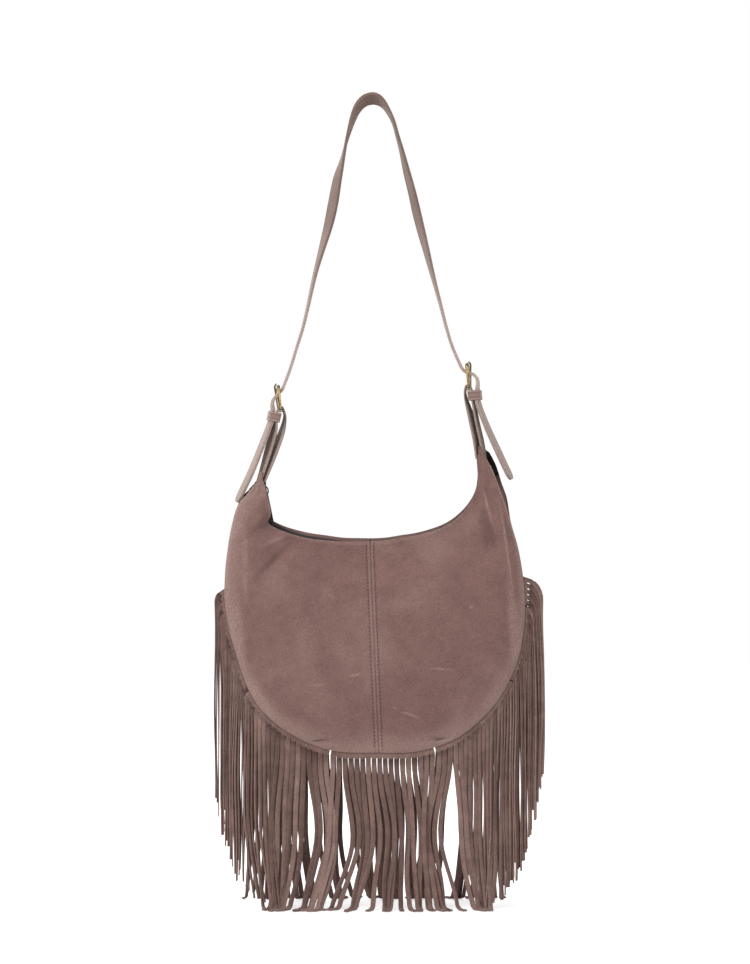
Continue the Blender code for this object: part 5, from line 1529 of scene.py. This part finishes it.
    def keeper(self, buckle: Buckle, where: tuple[float, float, float, float, float]) -> None:
        """Make the loop round the tail, pressed into two ridges.

        Args:
            buckle: The buckle beside it.
            where: Millimetres up and out, lean and twist in degrees, and depth of the bore.
        """
        up, out, lean, twist, bore = where
        centre = buckle.place(up, out)
        lean, twist = math.radians(lean), math.radians(twist)
        way = buckle.up * math.cos(lean) - buckle.flat * math.sin(lean)
        flat = buckle.flat * math.cos(lean) + buckle.up * math.sin(lean)
        face = math.cos(twist) * flat + math.sin(twist) * vec(0.0, -1.0, 0.0)
        along = np.cross(way, face)
        through = flat / math.cos(twist)
        high, wall = 0.0116, 0.0012
        half_wide, half_deep = 0.5 * self.width + 0.0006, 0.5 * bore
        profile = [(-0.5, 0.0), (-0.5, 0.7), (-0.46, 1.08), (-0.38, 1.18), (-0.30, 1.05),
                   (-0.25, 0.84), (-0.19, 0.98), (0.0, 1.04), (0.19, 0.98), (0.25, 0.84),
                   (0.30, 1.05), (0.38, 1.18), (0.46, 1.08), (0.5, 0.7), (0.5, 0.0)]
        points, faces = [], []
        corners = []
        for cx, cy, start in ((1, 1, 0), (-1, 1, 90), (-1, -1, 180), (1, -1, 270)):
            for step in (0, 30, 60, 90):
                corners.append((cx, cy, math.radians(start + step)))
        size = len(profile)
        for cx, cy, turn in corners:
            for end, rise in profile:
                grow = rise * wall
                a = cx * (half_wide - 0.0004) + math.cos(turn) * (0.0004 + grow)
                b = cy * (half_deep - 0.0004) + math.sin(turn) * (0.0004 + grow)
                points.append(centre + way * end * high + along * a + through * b)
        for k in range(len(corners)):
            j = (k + 1) % len(corners)
            for p in range(size):
                q = (p + 1) % size
                faces.append((k * size + p, k * size + q, j * size + q, j * size + p))
        piece = from_faces(f"{buckle.name}_keeper_suede", points, faces)
        # Painted highlight on the two pressed ridges, and painted shade in the grooves and toward the open
        # ends.
        paint(piece, "wear_and_highlight", [0.6 * ramp(1.0, 1.15, p[1]) for _ in corners for p in profile])
        paint(piece, "shade", [0.6 * ramp(0.95, 0.84, p[1]) for _ in corners for p in profile])
        dress(piece, self.finishes.keeper, Slot.STRAP, f"{buckle.name}_keeper",
              [f"{buckle.name}_keeper"], angle=60.0)

    def build(self) -> None:
        """Make the strap and everything on it."""
        self.long_strap()
        for buckle, (outer, inner, mouth), where in zip((self.left, self.right), self.chapes,
                                                        self.keepers):
            self.chape(buckle, outer, inner, mouth)
            self.keeper(buckle, where)
            Hardware(self.finishes).buckle(buckle.name)


@dataclass
class Hardware:
    """Metal pieces, remade from the CAD nodes with rounded edges."""

    finishes: Finishes

    def rounded(self, node: str, body: str, material: bpy.types.Material, slot: Slot, *,
                bevel: float = 0.0, smooth: int = 0, shade: Callable[[Array], Array] | None = None,
                fatten: Callable[[Array], float] | None = None) -> bpy.types.Object:
        """Copy a CAD node's mesh, join its faces and round it.

        Args:
            node: The CAD node.
            body: The CAD body that it moves with.
            material: Its finish.
            slot: The record's slot.
            bevel: Width of the rounded edges.
            smooth: Levels of subdivision.
            shade: Darkened share for the points.
            fatten: How far a point is moved outward.

        Returns:
            The new piece.
        """
        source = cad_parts[node]
        piece = bpy.data.objects.new(f"{node}_{slot.value.split('_')[-1]}", source.data.copy())
        bpy.context.scene.collection.objects.link(piece)
        only(piece)
        bpy.ops.object.mode_set(mode="EDIT")
        bpy.ops.mesh.select_all(action="SELECT")
        bpy.ops.mesh.remove_doubles(threshold=0.00002)
        bpy.ops.mesh.dissolve_limited(angle_limit=math.radians(2.0))
        bpy.ops.mesh.normals_make_consistent(inside=False)
        bpy.ops.object.mode_set(mode="OBJECT")
        if bevel:
            apply_modifier(piece, "BEVEL", width=bevel, segments=2, limit_method="ANGLE",
                           angle_limit=math.radians(35.0))
        if smooth:
            apply_modifier(piece, "SUBSURF", levels=smooth, render_levels=smooth)
        if fatten:
            for vertex in piece.data.vertices:
                vertex.co += vertex.normal * fatten(np.array(vertex.co))
        points = np.array([v.co for v in piece.data.vertices], float)
        paint(piece, "shade", shade(points) if shade else np.zeros(len(points)))
        return dress(piece, material, slot, body, [node], angle=50.0)

    def buckle(self, side: str) -> None:
        """Round the frame and the prong of one buckle."""
        low, high = (np.array(c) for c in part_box(f"{side}_buckle_frame"))

        def dark_top(points: Array) -> Array:
            share = (points[:, 2] - low[2]) / (high[2] - low[2])
            return np.clip((share - 0.78) * 9.0, 0.0, 0.95)

        self.rounded(f"{side}_buckle_frame", f"{side}_buckle_frame", self.finishes.brass, Slot.BRASS,
                     smooth=2, shade=dark_top)
        self.rounded(f"{side}_buckle_prong", f"{side}_buckle_prong", self.finishes.brass, Slot.BRASS,
                     bevel=0.00018, shade=dark_top)


@dataclass
class Zip:
    """Zip of the mouth: two tapes, two rows of coil, a slider with its pull and end stops."""

    outline: BagOutline
    finishes: Finishes
    radius: float = 0.291
    recess: float = 0.0094
    left_angle: float = math.radians(-24.6)
    right_angle: float = math.radians(18.0)
    coil: float = 0.0018
    split: float = 0.0012
    centre: Array = field(init=False)

    def __post_init__(self) -> None:
        """Place the centre of the zip's arc."""
        bottom = self.outline.rim(11.0)
        self.centre = vec(bottom[0], 0.0, bottom[1] - self.recess + self.radius)

    def point(self, angle: float, rise: float, y: float) -> Array:
        """Point on the arc, raised toward its centre."""
        r = self.radius - rise
        return self.centre + vec(r * math.sin(angle), y, -r * math.cos(angle))

    def tape(self, word: str, side: int) -> None:
        """Make the tape from the coil to the panel, turned up inside the rim."""
        edge, out = 0.5 * self.split + self.coil + FIT, self.outline.mouth_half - FIT
        rims = np.array([self.outline.inner(a, 0.0, side) for a in np.linspace(4.0, 19.0, 61)])

        def place(angle: float, way: float) -> Array:
            low = self.point(angle, 0.0, 0.0)
            room = (float(np.interp(low[0], rims[:, 0], rims[:, 2])) - 0.004 - low[2]) / math.cos(angle)
            top = min(max(room, 0.0012), 0.014)
            flat = edge + (out - edge) * min(way * 2.0, 1.0)
            rise = max(way * 2.0 - 1.0, 0.0) * top
            dip = 0.0002 * math.sin(angle * 90.0) * math.sin(math.pi * min(way * 2.0, 1.0))
            return self.point(angle, rise + dip, side * (flat - 0.0003 * (way > 0.5)))

        piece = cut_sheet(f"zip_tape_{word}_cloth", np.linspace(self.left_angle, self.right_angle, 90),
                          np.linspace(0.0, 1.0, 13), place, 0.0005, centre=self.centre)
        dress(piece, self.finishes.tape, Slot.TAPE, replaces=[f"zip_tape_{word}"], angle=60.0)

    def teeth(self, word: str, side: int) -> None:
        """Wind one row of the coil: a loop of nylon for each tooth, sewn to its tape."""
        deselect()
        bpy.ops.mesh.primitive_torus_add(major_segments=8, minor_segments=5, major_radius=0.5,
                                         minor_radius=0.22)
        model = bpy.context.active_object
        shape = np.array([v.co for v in model.data.vertices], float)
        loop = [tuple(p.vertices) for p in model.data.polygons]
        bpy.data.meshes.remove(model.data)
        points, faces = [], []
        count = int((self.right_angle - self.left_angle - 0.008) * self.radius / 0.00135)
        for n in range(count):
            angle = self.left_angle + 0.004 + (n + 0.5) * 0.00135 / self.radius
            way = vec(math.cos(angle), 0.0, math.sin(angle))
            up = vec(-math.sin(angle), 0.0, math.cos(angle))
            middle = self.point(angle, 0.0, side * (0.5 * self.split + 0.5 * self.coil))
            base = len(points)
            for p in shape:
                points.append(middle + vec(0.0, 1.0, 0.0) * p[0] * 0.00125 + up * p[1] * 0.00125
                              + way * (p[2] * 0.0022 + 0.0003 * p[0] * side))
            faces.extend(tuple(base + i for i in f) for f in loop)
        piece = from_faces(f"zip_coil_{word}_nylon", points, faces)
        dress(piece, self.finishes.coil, Slot.COIL, replaces=[f"zip_coil_{word}"])

    def build(self) -> None:
        """Make every piece of the zip."""
        metal = Hardware(self.finishes)
        for word, side in (("front", -1), ("back", 1)):
            self.tape(word, side)
            self.teeth(word, side)
        for node in ("zip_stop_left", "zip_stop_right"):
            metal.rounded(node, BODY, self.finishes.metal, Slot.METAL, bevel=0.0003)
        metal.rounded("zip_slider", "zip_slider", self.finishes.metal, Slot.METAL, bevel=0.00022)
        low, high = (np.array(c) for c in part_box("zip_slider"))
        middle = 0.5 * (low + high)
        metal.rounded("zip_pull", "zip_pull", self.finishes.metal, Slot.METAL, bevel=0.00016,
                      fatten=lambda place: 0.00025 * ramp(0.010, 0.014, math.dist(place, middle)))


# Studio


@dataclass
class Studio:
    """Camera, floor and lamps of the plain white studio."""

    distance: float = 3.0
    aim: tuple[float, float] = (0.0041, -0.4508)
    seen_height: float = 1.1375

    def floor(self) -> None:
        """Lay the white floor that keeps the shadow of the fringe."""
        deselect()
        bpy.ops.mesh.primitive_plane_add(size=1.0)
        piece = bpy.context.active_object
        piece.name = "studio_floor"
        for vertex in piece.data.vertices:
            vertex.co = (6.0 if vertex.co.x > 0 else -6.0, 4.0 if vertex.co.y > 0 else -6.0, FLOOR_Z)
        material = bpy.data.materials.new("studio_white")
        material.use_nodes = True
        tree = material.node_tree
        tree.nodes.clear()
        output = tree.nodes.new("ShaderNodeOutputMaterial")
        matt = tree.nodes.new("ShaderNodeBsdfDiffuse")
        matt.inputs["Color"].default_value = (0.80, 0.80, 0.80, 1.0)
        glow = tree.nodes.new("ShaderNodeEmission")
        both = tree.nodes.new("ShaderNodeAddShader")
        ray = tree.nodes.new("ShaderNodeLightPath")
        lift = tree.nodes.new("ShaderNodeMath")
        lift.operation = "MULTIPLY"
        lift.inputs[1].default_value = 0.60
        tree.links.new(ray.outputs["Is Camera Ray"], lift.inputs[0])
        tree.links.new(lift.outputs[0], glow.inputs["Strength"])
        tree.links.new(matt.outputs[0], both.inputs[0])
        tree.links.new(glow.outputs[0], both.inputs[1])
        tree.links.new(both.outputs[0], output.inputs["Surface"])
        piece.data.materials.append(material)

    def sky(self) -> None:
        """Set the plain world, white where the camera sees it."""
        world = bpy.data.worlds.new("studio")
        bpy.context.scene.world = world
        world.use_nodes = True
        tree = world.node_tree
        back = tree.nodes["Background"]
        back.inputs["Color"].default_value = (1.0, 1.0, 1.0, 1.0)
        ray = tree.nodes.new("ShaderNodeLightPath")
        seen = tree.nodes.new("ShaderNodeMath")
        seen.operation = "MAXIMUM"
        strength = tree.nodes.new("ShaderNodeMapRange")
        strength.inputs["To Min"].default_value = 0.55
        strength.inputs["To Max"].default_value = 1.0
        tree.links.new(ray.outputs["Is Camera Ray"], seen.inputs[0])
        tree.links.new(ray.outputs["Is Glossy Ray"], seen.inputs[1])
        tree.links.new(seen.outputs[0], strength.inputs["Value"])
        tree.links.new(strength.outputs[0], back.inputs["Strength"])

    def lamp(self, name: str, place: Sequence[float], aim: Sequence[float], size: float,
             power: float) -> None:
        """Hang one soft square lamp.

        Args:
            name: Its name.
            place: Where it hangs.
            aim: What it looks at.
            size: Its side.
            power: Its power in watts.
        """
        data = bpy.data.lights.new(name, "AREA")
        data.size = size
        data.energy = power
        lamp = bpy.data.objects.new(name, data)
        lamp.location = place
        lamp.rotation_euler = (Vector(aim) - Vector(place)).to_track_quat("-Z", "Y").to_euler()
        bpy.context.scene.collection.objects.link(lamp)

    def camera(self) -> None:
        """Set up the camera at the photograph's place."""
        data = bpy.data.cameras.new("camera")
        data.sensor_width = 36.0
        data.lens = 36.0 * self.distance / self.seen_height
        camera = bpy.data.objects.new("camera", data)
        camera.location = (self.aim[0], -self.distance, self.aim[1])
        camera.rotation_euler = (math.radians(90.0), 0.0, 0.0)
        bpy.context.scene.collection.objects.link(camera)
        bpy.context.scene.camera = camera

    def build(self) -> None:
        """Set up the whole studio."""
        self.camera()
        self.sky()
        self.floor()
        self.lamp("key", (-1.7, -1.7, 0.8), (0.0, 0.0, -0.5), 1.0, 40.0)
        self.lamp("fill", (1.8, -1.9, 0.1), (0.0, 0.0, -0.6), 1.6, 14.0)
        self.lamp("top", (0.0, 0.3, 1.4), (0.0, 0.0, -0.5), 1.6, 20.0)
        self.lamp("back", (-1.0, 1.8, 0.2), (0.0, 0.0, -0.6), 1.4, 14.0)
        bpy.context.scene.view_settings.view_transform = "Standard"


def main() -> None:
    """Build the studio and every sub-assembly of the bag."""
    logging.basicConfig(level=logging.INFO, format="%(message)s")
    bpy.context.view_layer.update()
    Studio().build()
    outline = BagOutline()
    finishes = Finishes()
    BagBody(outline, finishes).build()
    Fringe(outline, finishes).build()
    left = Buckle("left", vec(-0.10745, 0.0, -0.36540), (-0.1128, 0.9936))
    right = Buckle("right", vec(0.11415, 0.0, -0.33960), (-0.0397, 0.9992))
    Strap(finishes, left, right).build()
    Zip(outline, finishes).build()
    bpy.context.view_layer.update()


if __name__ == "__main__":
    main()
